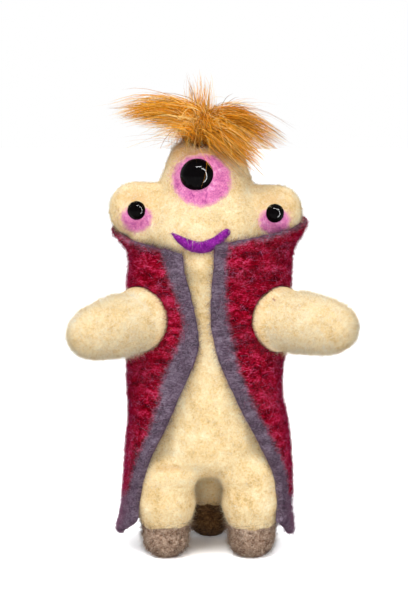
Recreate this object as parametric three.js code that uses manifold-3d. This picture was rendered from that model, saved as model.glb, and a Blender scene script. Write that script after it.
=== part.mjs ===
// A felted wool toy: a creature with three eyes and three legs, in a long lined felt coat.
// Millimetres, +Z up. It faces -Y, its own left is +X, and the origin is on the floor under its middle.
import * as THREE from 'three';
import { mergeVertices } from 'three/addons/utils/BufferGeometryUtils.js';
import Module from 'manifold-3d';

const wasm = await Module();
wasm.setup();
const { lerp, degToRad } = THREE.MathUtils;

// Fits
const gap = 0.3; // between pieces that are felted or stitched together
const runningGap = 0.5; // round a piece that turns

// Torso: heights of its sections, and the full width and depth of each
const crotchHeight = 36;
const hip = { height: 55, width: 66, depth: 57 };
const belly = { height: 78, width: 61, depth: 54 };
const chest = { height: 104, width: 55, depth: 50 };
const neck = { height: 136, width: 43, depth: 41 };
const neckPlug = 11; // how far the neck runs on up into the head

// Legs: two in front and one behind, each tipped with a cap of brown wool
const frontFootSpread = 40;
const frontHipSpread = 42;
const frontLegShift = -0.6; // of both front legs to the toy's right
const frontLegForward = 13;
const rearLegBack = 25;
const rearLegHipBack = 17;
const thighHeight = 38;
const thighDiameter = 26;
const shinHeight = 25;
const shinDiameter = 24.6;
const ankleHeight = 17;
const ankleDiameter = 19.2;
const toeHeight = 7;
const toeDiameter = 16.4;
const capWall = 0.9;
const soleThickness = 2.7;
const soleEdgeHeight = 2.5;
const soleDiameter = 13;
const soleFlat = 0.5; // depth of the flat that the round sole is pressed to

// Head: a bell-shaped middle with a lobe on each side, on a group set on the neck
const headRise = 4; // of the head's group over the neck's last section
const headShift = -2.5;
const headTilt = 1.2;
const headFoot = -3;
const jaw = { height: 2, width: 46, depth: 41 };
const mouthLine = { height: 8, width: 60, depth: 49 };
const cheek = { height: 16, width: 66, depth: 51 };
const brow = { height: 25, width: 58, depth: 49.6 };
const temple = { height: 33, width: 44.5, depth: 46 };
const dome = { height: 41, width: 38, depth: 40.5 };
const crownBase = { height: 48, width: 33.5, depth: 34.5 };
const headCrown = 55;
const lobeHeight = 22.3;
const lobeForward = 4;
const lobeDiameter = 24.4;
const lobeRoot = 12;
const lobeSwell = 34;
const lobeReach = 44.5;

// Eyes: black plastic beads on pink wool patches, each bead held by a waxed thread
const patchThickness = 1.1;
const middleEye = { x: -4.2, z: 39.4, bead: 16, sink: 2.2 };
const middlePatch = { patchX: -2.2, patchZ: 37.4, patchWidth: 27, patchHeight: 23.6 };
const sideEye = { x: 31.6, z: 22.7, bead: 9, sink: 1 };
const sidePatch = { patchZ: 19.6, patchWidth: 14.6, patchHeight: 13.6 };
const eyeThreadDiameter = 1.4;
const eyeThreadLength = 9;

// Mouth: a crescent of purple wool
const mouthThickness = 1.4;
const mouthCentre = -2.6;
const mouthHalfWidth = 14.2;
const mouthCorner = 14;
const mouthTop = 9.6;
const mouthBottom = 3.6;

// Fur tuft: a round of hide sewn to the crown, with five locks of hair on it
const hideDiameter = 19;
const hideThickness = 1.2;
const lockSink = 4; // how far below the crown's top the locks start

// Coat: red felt over a grey felt lining that shows as a border along the edges
const redThickness = 1.5;
const layerGap = 0.5; // between the red felt and the lining, which follow each other round the curves
const liningThickness = 1.5;
const coatThickness = redThickness + layerGap + liningThickness;
const frontBorder = 9.5;
const hemBorder = 12;
// Each section of the coat goes round a part of the toy, with room to spare across and in depth
const hemRoom = { height: 8, across: 10, deep: 13.5 };
const seatRoom = { height: hip.height, across: 3.2, deep: 7.2 };
const waistRoom = { height: 84, across: 6, deep: 2 };
const bustRoom = { height: 102, across: 12.6, deep: 3 };
const shoulderRoom = { height: 122, across: 7, deep: 1 };
const collarBaseRise = 5; // this and the next three are heights over the neck's last section
const collarRimRise = 22;
const collarFrontRise = 10;
const collarBackRise = 24;
const collarBaseRoom = { height: neck.height + collarBaseRise, across: 12, deep: 1 };
const collarRimRoom = { height: neck.height + collarRimRise, across: 17, deep: 5 };
const collarFront = neck.height + collarFrontRise;
const collarBack = neck.height + collarBackRise;
const hemFrontLift = 9;
const coatSquareness = 2.5; // 2 makes the coat's sections oval, more fills out their corners
const skirtGap = 0.6; // between the swinging skirt and the coat above it
// Distance of each front edge from the middle, at heights from the hem to the collar
const leftEdge = [[8, 31.2], [34, 31.4], [43, 29.9], [63, 20.9], [80, 12.1], [96, 5.4], [111, 1.1], [147, 2.4]];
const rightEdge = [[8, 34], [26, 34.4], [44, 30.4], [64, 20.6], [84, 10.9], [101, 5.4], [118, 7], [147, 16]];

// Arms: a ball at the root turns in an armhole, round a knot in the shoulder cord
const shoulderWidth = 62; // between the middles of the two balls
const shoulderHeight = 113.5;
const armRootDiameter = 30;
const armNeckAt = 7.8; // how far along the arm its root is still a ball
const armDiameter = 24.4;
const handDiameter = 22;
const handAt = 28.5;
const armTip = { left: 39.5, right: 37.5 };
const armDroop = { left: 4, right: 11 }; // degrees
const armTurn = 60; // degrees from straight ahead, towards its own side
const knotDiameter = 5;
const cordDiameter = 1.6;
// The hollow in which the cord moves: its full angle, how far beyond the knot it starts, and its aim,
// midway in the arm's travel
const cordFunnel = 62;
const cordFunnelStart = 2;
const cordFunnelUp = 9;
const cordFunnelAhead = 6.5;

// Fineness of the round forms, and of the coat's panels across and up
const sides = 18;
const capRings = 3;
const ringsBetween = 2;
const ballRounds = 16;
const socketRounds = 24;
const knotRounds = 12;
const rodSides = 18;
const threadSides = 8;
const threadLimit = 4; // a rod thinner than this is a thread or cord
const lockSides = 10;
const lockSteps = 7;
const outlineSteps = 8;
const backGrid = [14, 8];
const frontGrid = [7, 8];
const skirtGrid = [6, 8];

// Helpers for closed meshes
function solidOf(geometry) {
  const bare = geometry.clone();
  bare.deleteAttribute('normal');
  bare.deleteAttribute('uv');
  const merged = mergeVertices(bare, 1e-4);
  const corners = merged.index.array;
  const kept = [];
  for (let i = 0; i < corners.length; i += 3) {
    const [a, b, c] = corners.slice(i, i + 3);
    if (a !== b && b !== c && c !== a) kept.push(a, b, c);
  }
  const vertProperties = Float32Array.from(merged.attributes.position.array);
  return new wasm.Manifold(new wasm.Mesh({ numProp: 3, vertProperties, triVerts: Uint32Array.from(kept) }));
}

// The geometry of a solid's main body, without any crumb that a cut leaves.
function geometryOf(solid) {
  const main = solid.decompose().reduce((a, b) => (a.volume() > b.volume() ? a : b));
  const { vertProperties, triVerts } = main.getMesh();
  const geometry = new THREE.BufferGeometry();
  geometry.setAttribute('position', new THREE.BufferAttribute(Float32Array.from(vertProperties), 3));
  geometry.setIndex(new THREE.BufferAttribute(Uint32Array.from(triVerts), 1));
  geometry.computeVertexNormals();
  return geometry;
}

function indexed(points, corners) {
  const geometry = new THREE.BufferGeometry();
  geometry.setFromPoints(points);
  geometry.setIndex(corners);
  return geometry;
}

// Skins a stack of rings, each with the same count of points, and closes it at a first and a last point.
function loft(first, rings, last) {
  const count = rings[0].length;
  const points = [...rings.flat(), first, last];
  const corners = [];
  for (let i = 0; i < count; i++) {
    const next = (i + 1) % count;
    const top = (rings.length - 1) * count;
    corners.push(points.length - 2, next, i, points.length - 1, top + i, top + next);
    for (let r = 0; r + 1 < rings.length; r++) {
      const low = r * count;
      const high = low + count;
      corners.push(low + i, low + next, high + i, low + next, high + next, high + i);
    }
  }
  return indexed(points, corners);
}

// A smooth function through rows of [position, value, value, ...].
function smoothThrough(rows) {
  const positions = rows.map((row) => row[0]);
  const values = rows.flatMap((row) => row.slice(1));
  const curve = new THREE.CubicInterpolant(positions, values, rows[0].length - 1);
  return (position) => Array.from(curve.evaluate(position));
}

function ellipse(x, y, z, halfWidth, halfDepth) {
  return Array.from({ length: sides }, (_, i) => {
    const turn = (2 * Math.PI * i) / sides;
    return new THREE.Vector3(x + halfWidth * Math.cos(turn), y + halfDepth * Math.sin(turn), z);
  });
}

// A felted form that swells and tapers along Z through sections {height, width, depth, x, y}, with round ends.
function feltForm(foot, sections, crown, grow = 0) {
  const rows = sections.map((s) => [s.height, s.width / 2, (s.depth ?? s.width) / 2, s.x ?? 0, s.y ?? 0]);
  const sectionAt = smoothThrough(rows);
  const low = rows[0];
  const high = rows.at(-1);
  const rings = [];
  const addRing = (height, [w, d, x, y], share) => {
    rings.push(ellipse(x, y, height, (w + grow) * share, (d + grow) * share));
  };
  for (let i = 1; i < capRings; i++) {
    const turn = (Math.PI / 2) * (i / capRings);
    addRing(low[0] + (foot - grow - low[0]) * Math.cos(turn), low.slice(1), Math.sin(turn));
  }
  for (let i = 0; i + 1 < rows.length; i++) {
    for (let k = 0; k < ringsBetween; k++) {
      const height = lerp(rows[i][0], rows[i + 1][0], k / ringsBetween);
      addRing(height, sectionAt(height), 1);
    }
  }
  addRing(high[0], high.slice(1), 1);
  for (let i = capRings - 1; i > 0; i--) {
    const turn = (Math.PI / 2) * (i / capRings);
    addRing(high[0] + (crown + grow - high[0]) * Math.cos(turn), high.slice(1), Math.sin(turn));
  }
  const end = (height, row) => new THREE.Vector3(row[3], row[4], height);
  return loft(end(foot - grow, low), rings, end(crown + grow, high));
}

function ball(diameter, place, round = ballRounds) {
  return new THREE.SphereGeometry(diameter / 2, round, round / 2 + 1).translate(...place);
}

// A round rod from one point to another, tapered if its end has a diameter of its own.
function rod(diameter, from, to, endDiameter = diameter) {
  const [start, end] = [from, to].map((p) => new THREE.Vector3(...p));
  const run = end.clone().sub(start);
  const round = Math.max(diameter, endDiameter) > threadLimit ? rodSides : threadSides;
  const geometry = new THREE.CylinderGeometry(endDiameter / 2, diameter / 2, run.length(), round);
  const turn = new THREE.Quaternion().setFromUnitVectors(new THREE.Vector3(0, 1, 0), run.clone().normalize());
  return geometry.applyQuaternion(turn).translate(...start.add(end).multiplyScalar(0.5));
}

// Materials
const wool = (color) => new THREE.MeshStandardMaterial({ color, roughness: 1, metalness: 0 });
const creamWool = wool('#e9d3a1');
const brownWool = wool('#6b5443');
const pinkWool = wool('#d77cc4');
const purpleWool = wool('#7a2a9a');
const redFelt = wool('#9c1230');
const greyFelt = wool('#6d6272');
const gingerFur = new THREE.MeshStandardMaterial({ color: '#b9721f', roughness: 0.6, metalness: 0 });
const hide = new THREE.MeshStandardMaterial({ color: '#c9a27a', roughness: 0.9, metalness: 0 });
const blackPlastic = new THREE.MeshStandardMaterial({ color: '#08070a', roughness: 0.05, metalness: 0 });
const waxedThread = new THREE.MeshStandardMaterial({ color: '#e6dcc8', roughness: 0.7, metalness: 0 });

const toy = new THREE.Group();
function add(parent, name, solid, material) {
  const mesh = new THREE.Mesh(geometryOf(solid), material);
  mesh.name = name;
  parent.add(mesh);
}

// Places that several pieces share
function coatRound(part, room) {
  const felt = 2 * coatThickness;
  return { height: room.height, width: part.width + felt + room.across, depth: part.depth + felt + room.deep };
}
const legs = {
  width: frontHipSpread + thighDiameter,
  depth: frontLegForward + rearLegBack + thighDiameter,
};
const hem = coatRound(legs, hemRoom);
const seat = coatRound({ width: Math.max(hip.width, legs.width), depth: hip.depth }, seatRoom);
const waist = coatRound(belly, waistRoom);
const bust = coatRound(chest, bustRoom);
const shoulder = coatRound({ width: shoulderWidth, depth: chest.depth }, shoulderRoom);
const collarBase = coatRound(mouthLine, collarBaseRoom);
const collarRim = coatRound(cheek, collarRimRoom);
const upperCoat = smoothThrough([waist, bust, shoulder, collarBase, collarRim].map(
  (s) => [s.height, s.width / 2, s.depth / 2],
));
// Half the coat's width and depth at a height: curved above the waist, straight down to the seat and the hem.
function coatSection(height) {
  if (height > waist.height) return upperCoat(height);
  const [low, high] = height > seat.height ? [seat, waist] : [hem, seat];
  const share = (height - low.height) / (high.height - low.height);
  return [lerp(low.width, high.width, share) / 2, lerp(low.depth, high.depth, share) / 2];
}
// The arms' balls sit midway in the coat's thickness
const midCoat = (half) => half - coatThickness / 2;
const [armholeHalfWidth, armholeHalfDepth] = coatSection(shoulderHeight).map(midCoat);
const shoulderShare = (shoulderWidth / 2 / armholeHalfWidth) ** coatSquareness;
const shoulderForward = armholeHalfDepth * (1 - shoulderShare) ** (1 / coatSquareness);
const shoulderPlace = (side) => [(side * shoulderWidth) / 2, -shoulderForward, shoulderHeight];
const sideNames = [['left', 1], ['right', -1]];

const headGroup = new THREE.Group();
headGroup.position.set(headShift, 0, neck.height + headRise);
headGroup.rotation.y = degToRad(headTilt);
headGroup.updateMatrix();
toy.add(headGroup);

// Torso: one felted core, hollowed where the arms' balls sit and bored for the shoulder cord
function torsoForm(grow = 0) {
  return feltForm(crotchHeight, [hip, belly, chest, neck], neck.height + neckPlug, grow);
}
function torso() {
  let body = solidOf(torsoForm());
  for (const [, side] of sideNames) {
    body = body.subtract(solidOf(ball(armRootDiameter + 2 * runningGap, shoulderPlace(side), socketRounds)));
  }
  return body.subtract(solidOf(rod(cordDiameter + 2 * gap, shoulderPlace(1), shoulderPlace(-1))));
}
add(toy, 'torso', torso(), creamWool);

// Legs: each is cut to the torso's underside, and its tip is wrapped in a brown cap
const legSections = [
  { height: toeHeight, width: toeDiameter },
  { height: ankleHeight, width: ankleDiameter },
  { height: shinHeight, width: shinDiameter },
  { height: thighHeight, width: thighDiameter },
];
function frontLegPlace(side) {
  const at = (spread) => [(side * spread) / 2 + frontLegShift, -frontLegForward];
  return { foot: at(frontFootSpread), hip: at(frontHipSpread) };
}
const legPlaces = {
  left_front: frontLegPlace(1),
  right_front: frontLegPlace(-1),
  rear: { foot: [0, rearLegBack], hip: [0, rearLegHipBack] },
};
const capSections = [{ height: soleEdgeHeight, width: soleDiameter }, ...legSections];
function legForm(place, grow = 0, foot = soleThickness, outline = legSections) {
  const sections = outline.map((s) => {
    const [x, y] = [0, 1].map((i) => lerp(place.foot[i], place.hip[i], s.height / thighHeight));
    return { ...s, x, y };
  });
  return feltForm(foot, sections, hip.height, grow);
}
function leg(place) {
  return solidOf(legForm(place)).subtract(solidOf(torsoForm(gap)));
}
function footCap(place) {
  const wide = 2 * ankleDiameter;
  const slab = new THREE.BoxGeometry(wide, wide, ankleHeight).translate(...place.foot, ankleHeight / 2);
  const wrap = gap + capWall;
  const outside = solidOf(legForm(place, wrap, wrap - soleFlat, capSections));
  return outside.intersect(solidOf(slab)).subtract(solidOf(legForm(place, gap)));
}
for (const [name, place] of Object.entries(legPlaces)) {
  add(toy, `${name}_leg`, leg(place), creamWool);
  add(toy, `${name}_foot_cap`, footCap(place), brownWool);
}

// Head: the bell-shaped middle, cut to the neck, and a lobe on each side cut to the middle
function headForm(grow = 0) {
  return feltForm(headFoot, [jaw, mouthLine, cheek, brow, temple, dome, crownBase], headCrown, grow);
}
function lobeForm(side, grow = 0) {
  const sections = [
    { height: lobeRoot + lobeDiameter / 4, width: lobeDiameter },
    { height: lobeSwell, width: lobeDiameter },
  ];
  const form = feltForm(lobeRoot, sections, lobeReach, grow);
  return form.rotateY((side * Math.PI) / 2).translate(0, -lobeForward, lobeHeight);
}
// Depth of a form's front surface at a place seen from the front.
function frontOf(form, x, z) {
  const ray = new THREE.Raycaster(new THREE.Vector3(x, -hem.depth, z), new THREE.Vector3(0, 1, 0));
  return ray.intersectObject(new THREE.Mesh(form))[0].point.y;
}
const eyes = {
  middle: { ...middleEye, ...middlePatch, form: headForm },
  left: { ...sideEye, ...sidePatch, patchX: sideEye.x, form: (grow) => lobeForm(1, grow) },
  right: { ...sideEye, ...sidePatch, x: -sideEye.x, patchX: -sideEye.x, form: (grow) => lobeForm(-1, grow) },
};
for (const eye of Object.values(eyes)) {
  eye.place = [eye.x, frontOf(eye.form(0), eye.x, eye.z) + eye.sink, eye.z];
  eye.threadEnd = [eye.x, eye.place[1] + eye.bead / 2 + eyeThreadLength, eye.z];
}
// What an eye takes out of the wool behind it: the bead's socket and the thread's hole.
function eyeHollow(eye) {
  const socket = solidOf(ball(eye.bead + 2 * gap, eye.place));
  const end = [...eye.threadEnd];
  end[1] += gap;
  return socket.add(solidOf(rod(eyeThreadDiameter + 2 * gap, eye.place, end)));
}
function neckInHeadFrame() {
  return torsoForm(gap).applyMatrix4(headGroup.matrix.clone().invert());
}
function headMiddle() {
  const whole = solidOf(headForm()).subtract(solidOf(neckInHeadFrame()));
  return Object.values(eyes).reduce((left, eye) => left.subtract(eyeHollow(eye)), whole);
}
function eyeLobe(side, eye) {
  return solidOf(lobeForm(side)).subtract(solidOf(headForm(gap))).subtract(eyeHollow(eye));
}
add(headGroup, 'head', headMiddle(), creamWool);
for (const [name, side] of sideNames) {
  add(headGroup, `${name}_eye_lobe`, eyeLobe(side, eyes[name]), creamWool);
}

// A flat outline made into wool felted on a form: what its extrusion takes from the form's outer skin.
function feltedOn(form, outline, thickness) {
  const options = { depth: hem.depth, bevelEnabled: false, curveSegments: outlineSteps };
  const pressed = solidOf(new THREE.ExtrudeGeometry(outline, options).rotateX(Math.PI / 2));
  return pressed.intersect(solidOf(form(gap + thickness))).subtract(solidOf(form(gap)));
}

// Eyes: patch, bead and thread
function eyePatch(eye) {
  const outline = new THREE.Shape();
  outline.absellipse(eye.patchX, eye.patchZ, eye.patchWidth / 2, eye.patchHeight / 2, 0, 2 * Math.PI);
  const patch = feltedOn(eye.form, outline, patchThickness).subtract(eyeHollow(eye));
  return eye.form === headForm ? patch : patch.subtract(solidOf(headForm(gap)));
}
function eyeThread(eye) {
  const start = [...eye.place];
  start[1] += eye.bead / 2 + gap;
  return solidOf(rod(eyeThreadDiameter, start, eye.threadEnd));
}
for (const [name, eye] of Object.entries(eyes)) {
  add(headGroup, `${name}_eye_patch`, eyePatch(eye), pinkWool);
  add(headGroup, `${name}_eye_bead`, solidOf(ball(eye.bead, eye.place)), blackPlastic);
  add(headGroup, `${name}_eye_thread`, eyeThread(eye), waxedThread);
}

// Mouth
function mouth() {
  const [left, right] = [mouthCentre - mouthHalfWidth, mouthCentre + mouthHalfWidth];
  const dip = (height) => 2 * height - mouthCorner; // control point that brings the curve's middle to a height
  const outline = new THREE.Shape().moveTo(left, mouthCorner);
  outline.quadraticCurveTo(mouthCentre, dip(mouthBottom), right, mouthCorner);
  outline.quadraticCurveTo(mouthCentre, dip(mouthTop), left, mouthCorner);
  return feltedOn(headForm, outline, mouthThickness);
}
add(headGroup, 'mouth', mouth(), purpleWool);

// Fur tuft: the hide lies on the crown, and each lock rises from it and lies clear of the ones before
function hidePatch() {
  const column = solidOf(rod(hideDiameter, [0, 0, dome.height], [0, 0, headCrown + hideDiameter]));
  return column.intersect(solidOf(headForm(gap + hideThickness))).subtract(solidOf(headForm(gap)));
}
add(headGroup, 'hide_patch', hidePatch(), hide);

// A lock of hair: an oval section that swells and tapers along a curve through the points.
function lockForm({ points, width, depth }, grow = 0) {
  const curve = new THREE.CatmullRomCurve3(points.map(([x, y, z]) => new THREE.Vector3(x, y, headCrown + z)));
  const along = (t) => curve.getPoint(t);
  const up = new THREE.Vector3(0, -1, 0);
  const rings = [];
  for (let i = 1; i < lockSteps; i++) {
    const t = i / lockSteps;
    const run = curve.getTangent(t);
    const across = new THREE.Vector3().crossVectors(up, run).normalize();
    const out = new THREE.Vector3().crossVectors(run, across).normalize();
    const swell = Math.sin(Math.PI * Math.sqrt(t)) ** 0.8;
    const ring = Array.from({ length: lockSides }, (_, k) => {
      const turn = (2 * Math.PI * k) / lockSides;
      const a = across.clone().multiplyScalar((swell * width / 2 + grow) * Math.cos(turn));
      return a.addScaledVector(out, (swell * depth / 2 + grow) * Math.sin(turn)).add(along(t));
    });
    rings.push(ring);
  }
  const stretch = (t) => along(t).addScaledVector(curve.getTangent(t), (t ? 1 : -1) * grow);
  return loft(stretch(0), rings, stretch(1));
}
// Points along each lock, in X, Y and height over the crown's top
const locks = {
  right: { points: [[4, -5, -lockSink], [-9, -7, 8], [-24, -8, 11], [-42, -8, 15]], width: 24, depth: 16 },
  left: { points: [[-4, -6, -lockSink], [12, -9, 7], [26, -10, 1], [37, -9, -9]], width: 22, depth: 16 },
  crown: { points: [[1, 0, -lockSink], [0, 2, 8], [-3, 3, 18], [-8, 2, 28]], width: 19, depth: 14 },
  back: { points: [[0, -3, -lockSink], [-1, 12, 6], [-1, 22, -1], [-2, 28, -13]], width: 16, depth: 12 },
  front: { points: [[0, 2, -lockSink], [0, -13, 7], [-1, -24, 2], [2, -29, -7]], width: 14, depth: 7 },
};
function addLocks() {
  const clearOfHide = solidOf(headForm(gap + hideThickness + gap));
  const placed = [];
  for (const [name, lock] of Object.entries(locks)) {
    let solid = solidOf(lockForm(lock)).subtract(clearOfHide);
    for (const other of placed) solid = solid.subtract(solidOf(lockForm(other, gap)));
    add(headGroup, `${name}_fur_lock`, solid, gingerFur);
    placed.push(lock);
  }
}
addLocks();

// Arms: a group at each shoulder carries the arm and the knot that it turns on
function armForm(tip) {
  const root = armRootDiameter / 2;
  const ballAt = (height) => ({ height, width: 2 * Math.sqrt(root ** 2 - height ** 2) });
  const sections = [
    ballAt(0),
    ballAt(armNeckAt / 2),
    ballAt(armNeckAt),
    { height: (armNeckAt + handAt) / 2, width: armDiameter },
    { height: handAt, width: handDiameter },
  ];
  return feltForm(-root, sections, tip);
}
function arm(name, side) {
  const [up, ahead] = [degToRad(cordFunnelUp), degToRad(cordFunnelAhead)];
  const aim = [-side * Math.cos(up) * Math.cos(ahead), -Math.cos(up) * Math.sin(ahead), Math.sin(up)];
  const along = (distance) => aim.map((part) => part * distance);
  const mouthDiameter = 2 * (armRootDiameter + cordFunnelStart) * Math.tan(degToRad(cordFunnel / 2));
  const funnel = rod(0, along(-cordFunnelStart), along(armRootDiameter), mouthDiameter);
  const laid = armForm(armTip[name]).rotateX(degToRad(90 + armDroop[name])).rotateZ(degToRad(side * armTurn));
  return solidOf(laid)
    .subtract(solidOf(ball(knotDiameter + 2 * gap, [0, 0, 0], knotRounds)))
    .subtract(solidOf(funnel));
}
for (const [name, side] of sideNames) {
  const shoulderGroup = new THREE.Group();
  shoulderGroup.position.set(...shoulderPlace(side));
  toy.add(shoulderGroup);
  add(shoulderGroup, `${name}_arm`, arm(name, side), creamWool);
  add(shoulderGroup, `${name}_shoulder_knot`, solidOf(ball(knotDiameter, [0, 0, 0], knotRounds)), waxedThread);
}
function shoulderCord() {
  const end = (side) => {
    const place = shoulderPlace(side);
    place[0] -= side * (knotDiameter / 2 + gap);
    return place;
  };
  return solidOf(rod(cordDiameter, end(1), end(-1)));
}
add(toy, 'shoulder_cord', shoulderCord(), waxedThread);

// Coat: a back, two fronts with armholes and two skirts that swing at the side seams, in two layers
function coatPoint(side, angle, height, depth) {
  const [halfWidth, halfDepth] = coatSection(height);
  const [across, ahead] = [Math.sin(angle), Math.cos(angle)];
  const power = Math.abs(across) ** coatSquareness + Math.abs(ahead) ** coatSquareness;
  const fill = power ** (-1 / coatSquareness);
  const x = side * (halfWidth - depth) * across * fill;
  return new THREE.Vector3(x, -(halfDepth - depth) * ahead * fill, height);
}
const edgeCurves = { 1: smoothThrough(leftEdge), [-1]: smoothThrough(rightEdge) };
// Angle from straight ahead of a front edge, set back by a border.
function edgeAngle(side, height, border) {
  const [halfWidth, halfDepth] = coatSection(height);
  const out = edgeCurves[side](height)[0] / halfWidth;
  const angle = Math.atan(out / (1 - Math.abs(out) ** coatSquareness) ** (1 / coatSquareness));
  const stretch = Math.hypot(halfWidth * Math.cos(angle), halfDepth * Math.sin(angle));
  return angle + border / stretch;
}
function seamAngle(height) {
  return gap / 2 / coatSection(height)[1];
}
const layers = {
  coat: { from: 0, to: redThickness, border: frontBorder, hem: hemBorder, material: redFelt },
  lining: { from: redThickness + layerGap, to: coatThickness, border: 0, hem: 0, material: greyFelt },
};
// A thick panel: pointAt(s, t, depth) over a grid, on its outer and inner faces, closed round its rim.
function panel(pointAt, [across, up], layer) {
  const points = [];
  for (const depth of [layer.from, layer.to]) {
    for (let j = 0; j <= up; j++) {
      for (let i = 0; i <= across; i++) points.push(pointAt(i / across, j / up, depth));
    }
  }
  const face = (across + 1) * (up + 1);
  const at = (i, j) => j * (across + 1) + i;
  const corners = [];
  const quad = (a, b, c, d) => corners.push(a, b, c, a, c, d);
  for (let j = 0; j < up; j++) {
    for (let i = 0; i < across; i++) {
      const [a, b, c, d] = [at(i, j), at(i + 1, j), at(i + 1, j + 1), at(i, j + 1)];
      quad(a, b, c, d);
      quad(a + face, d + face, c + face, b + face);
    }
  }
  const rim = [];
  for (let i = 0; i < across; i++) rim.push(at(i, 0));
  for (let j = 0; j < up; j++) rim.push(at(across, j));
  for (let i = across; i > 0; i--) rim.push(at(i, up));
  for (let j = up; j > 0; j--) rim.push(at(0, j));
  rim.forEach((a, k) => {
    const b = rim[(k + 1) % rim.length];
    quad(b, a, a + face, b + face);
  });
  return indexed(points, corners);
}
// A side that runs the other way round makes its panel inside out, so its corners are turned back.
function facingOut(geometry, side) {
  const corners = geometry.index.array;
  for (let i = 0; side > 0 && i < corners.length; i += 3) {
    [corners[i + 1], corners[i + 2]] = [corners[i + 2], corners[i + 1]];
  }
  return geometry;
}
function backPanel(layer) {
  const pointAt = (s, t, depth) => {
    const top = lerp(collarRim.height, collarBack, Math.sin(Math.PI * s));
    const height = lerp(hem.height + layer.hem, top, t);
    const seam = seamAngle(height);
    return coatPoint(-1, lerp(1.5 * Math.PI - seam, Math.PI / 2 + seam, s), height, depth);
  };
  return panel(pointAt, backGrid, layer);
}
function frontPanel(side, layer) {
  const pointAt = (s, t, depth) => {
    const top = lerp(collarRim.height, collarFront, Math.sin((Math.PI / 2) * s));
    const height = lerp(waist.height + skirtGap, top, t);
    const seam = Math.PI / 2 - seamAngle(height);
    return coatPoint(side, lerp(seam, edgeAngle(side, height, layer.border), s), height, depth);
  };
  return facingOut(panel(pointAt, frontGrid, layer), side);
}
function skirtPanel(side, layer) {
  const pointAt = (s, t, depth) => {
    const bottom = hem.height + layer.hem + hemFrontLift * s;
    const height = lerp(bottom, waist.height, t);
    const seam = Math.PI / 2 - seamAngle(height);
    return coatPoint(side, lerp(seam, edgeAngle(side, height, layer.border), s), height, depth);
  };
  return facingOut(panel(pointAt, skirtGrid, layer), side);
}
function clearOfHead(solid) {
  const forms = [headForm(gap), lobeForm(1, gap), lobeForm(-1, gap)];
  return forms.reduce((left, form) => left.subtract(solidOf(form.applyMatrix4(headGroup.matrix))), solid);
}
for (const [layerName, layer] of Object.entries(layers)) {
  add(toy, `${layerName}_back`, clearOfHead(solidOf(backPanel(layer))), layer.material);
  for (const [name, side] of sideNames) {
    const armhole = solidOf(ball(armRootDiameter + 2 * runningGap, shoulderPlace(side), socketRounds));
    const front = clearOfHead(solidOf(frontPanel(side, layer))).subtract(armhole);
    add(toy, `${layerName}_${name}_front`, front, layer.material);
    add(toy, `${layerName}_${name}_skirt`, solidOf(skirtPanel(side, layer)), layer.material);
  }
}

export default toy;
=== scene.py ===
import math
from functools import partial

import bpy
import numpy as np
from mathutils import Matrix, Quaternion, Vector
from mathutils.bvhtree import BVHTree


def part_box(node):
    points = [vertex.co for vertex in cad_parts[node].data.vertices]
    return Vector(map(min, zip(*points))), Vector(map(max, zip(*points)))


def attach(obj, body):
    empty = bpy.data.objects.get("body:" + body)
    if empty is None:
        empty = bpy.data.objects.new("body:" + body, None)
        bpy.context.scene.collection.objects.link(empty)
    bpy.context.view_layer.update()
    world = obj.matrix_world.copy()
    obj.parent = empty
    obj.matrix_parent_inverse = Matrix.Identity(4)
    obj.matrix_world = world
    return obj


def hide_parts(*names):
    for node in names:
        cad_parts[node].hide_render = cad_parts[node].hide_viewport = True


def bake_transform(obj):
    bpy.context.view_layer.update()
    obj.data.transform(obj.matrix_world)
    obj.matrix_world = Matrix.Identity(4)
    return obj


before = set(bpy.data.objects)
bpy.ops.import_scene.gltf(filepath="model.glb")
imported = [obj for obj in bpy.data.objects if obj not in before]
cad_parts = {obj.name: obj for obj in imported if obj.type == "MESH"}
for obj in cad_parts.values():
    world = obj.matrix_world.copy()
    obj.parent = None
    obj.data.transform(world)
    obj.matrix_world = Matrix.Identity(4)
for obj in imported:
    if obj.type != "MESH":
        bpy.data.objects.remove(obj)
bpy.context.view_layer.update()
bpy.ops.object.select_all(action="DESELECT")
bpy.context.scene.view_settings.view_transform = "Standard"
MM = 0.001

# Camera: a 100 mm lens on a 36 mm frame held upright, 0.8 m from the toy, a little above it and square
# to its front.
camera_target = Vector((-2.8, 0, 117)) * MM
camera_distance = 800 * MM
camera_rise = math.radians(8)
bpy.ops.object.camera_add()
camera = bpy.context.object
camera.name = "camera"
camera.data.lens = 100
camera.data.sensor_width = 36
camera.location = camera_target + camera_distance * Vector((0, -math.cos(camera_rise), math.sin(camera_rise)))
camera.rotation_euler = (math.pi / 2 - camera_rise, 0, 0)
bpy.context.scene.camera = camera

# Floor: a matt white table that runs out of the picture. To the camera it is lifted to white, and shines
# a little, so that it goes white away from the toy and keeps the toy's soft shadow.
floor_size = 8
floor_lift = 1
floor_shine = 0.05
shine_starts, shine_ends = 0.008, 0.058


def linear(code):
    """The linear RGBA colour of an sRGB hex value."""
    parts = [int(code[i:i + 2], 16) / 255 for i in (1, 3, 5)]
    return [p / 12.92 if p <= 0.04045 else ((p + 0.055) / 1.055) ** 2.4 for p in parts] + [1]


def add_node(tree, kind, inputs=(), out=0, stops=(), **settings):
    """Adds a node with its settings, and its stops if it is a colour ramp. inputs gives sockets a value, or
    a link from another socket. Returns one of the node's outputs, if it has any."""
    made = tree.nodes.new(f"ShaderNode{kind}")
    for name, value in settings.items():
        setattr(made, name, value)
    for number, (at, shade) in enumerate(stops):
        ramp = made.color_ramp.elements
        stop = ramp[number] if number < 2 else ramp.new(at)
        stop.position = at
        stop.color = linear(shade)
    for socket, value in dict(inputs).items():
        if isinstance(value, bpy.types.NodeSocket):
            tree.links.new(value, made.inputs[socket])
        else:
            made.inputs[socket].default_value = value
    return made.outputs[out] if made.outputs else None


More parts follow.
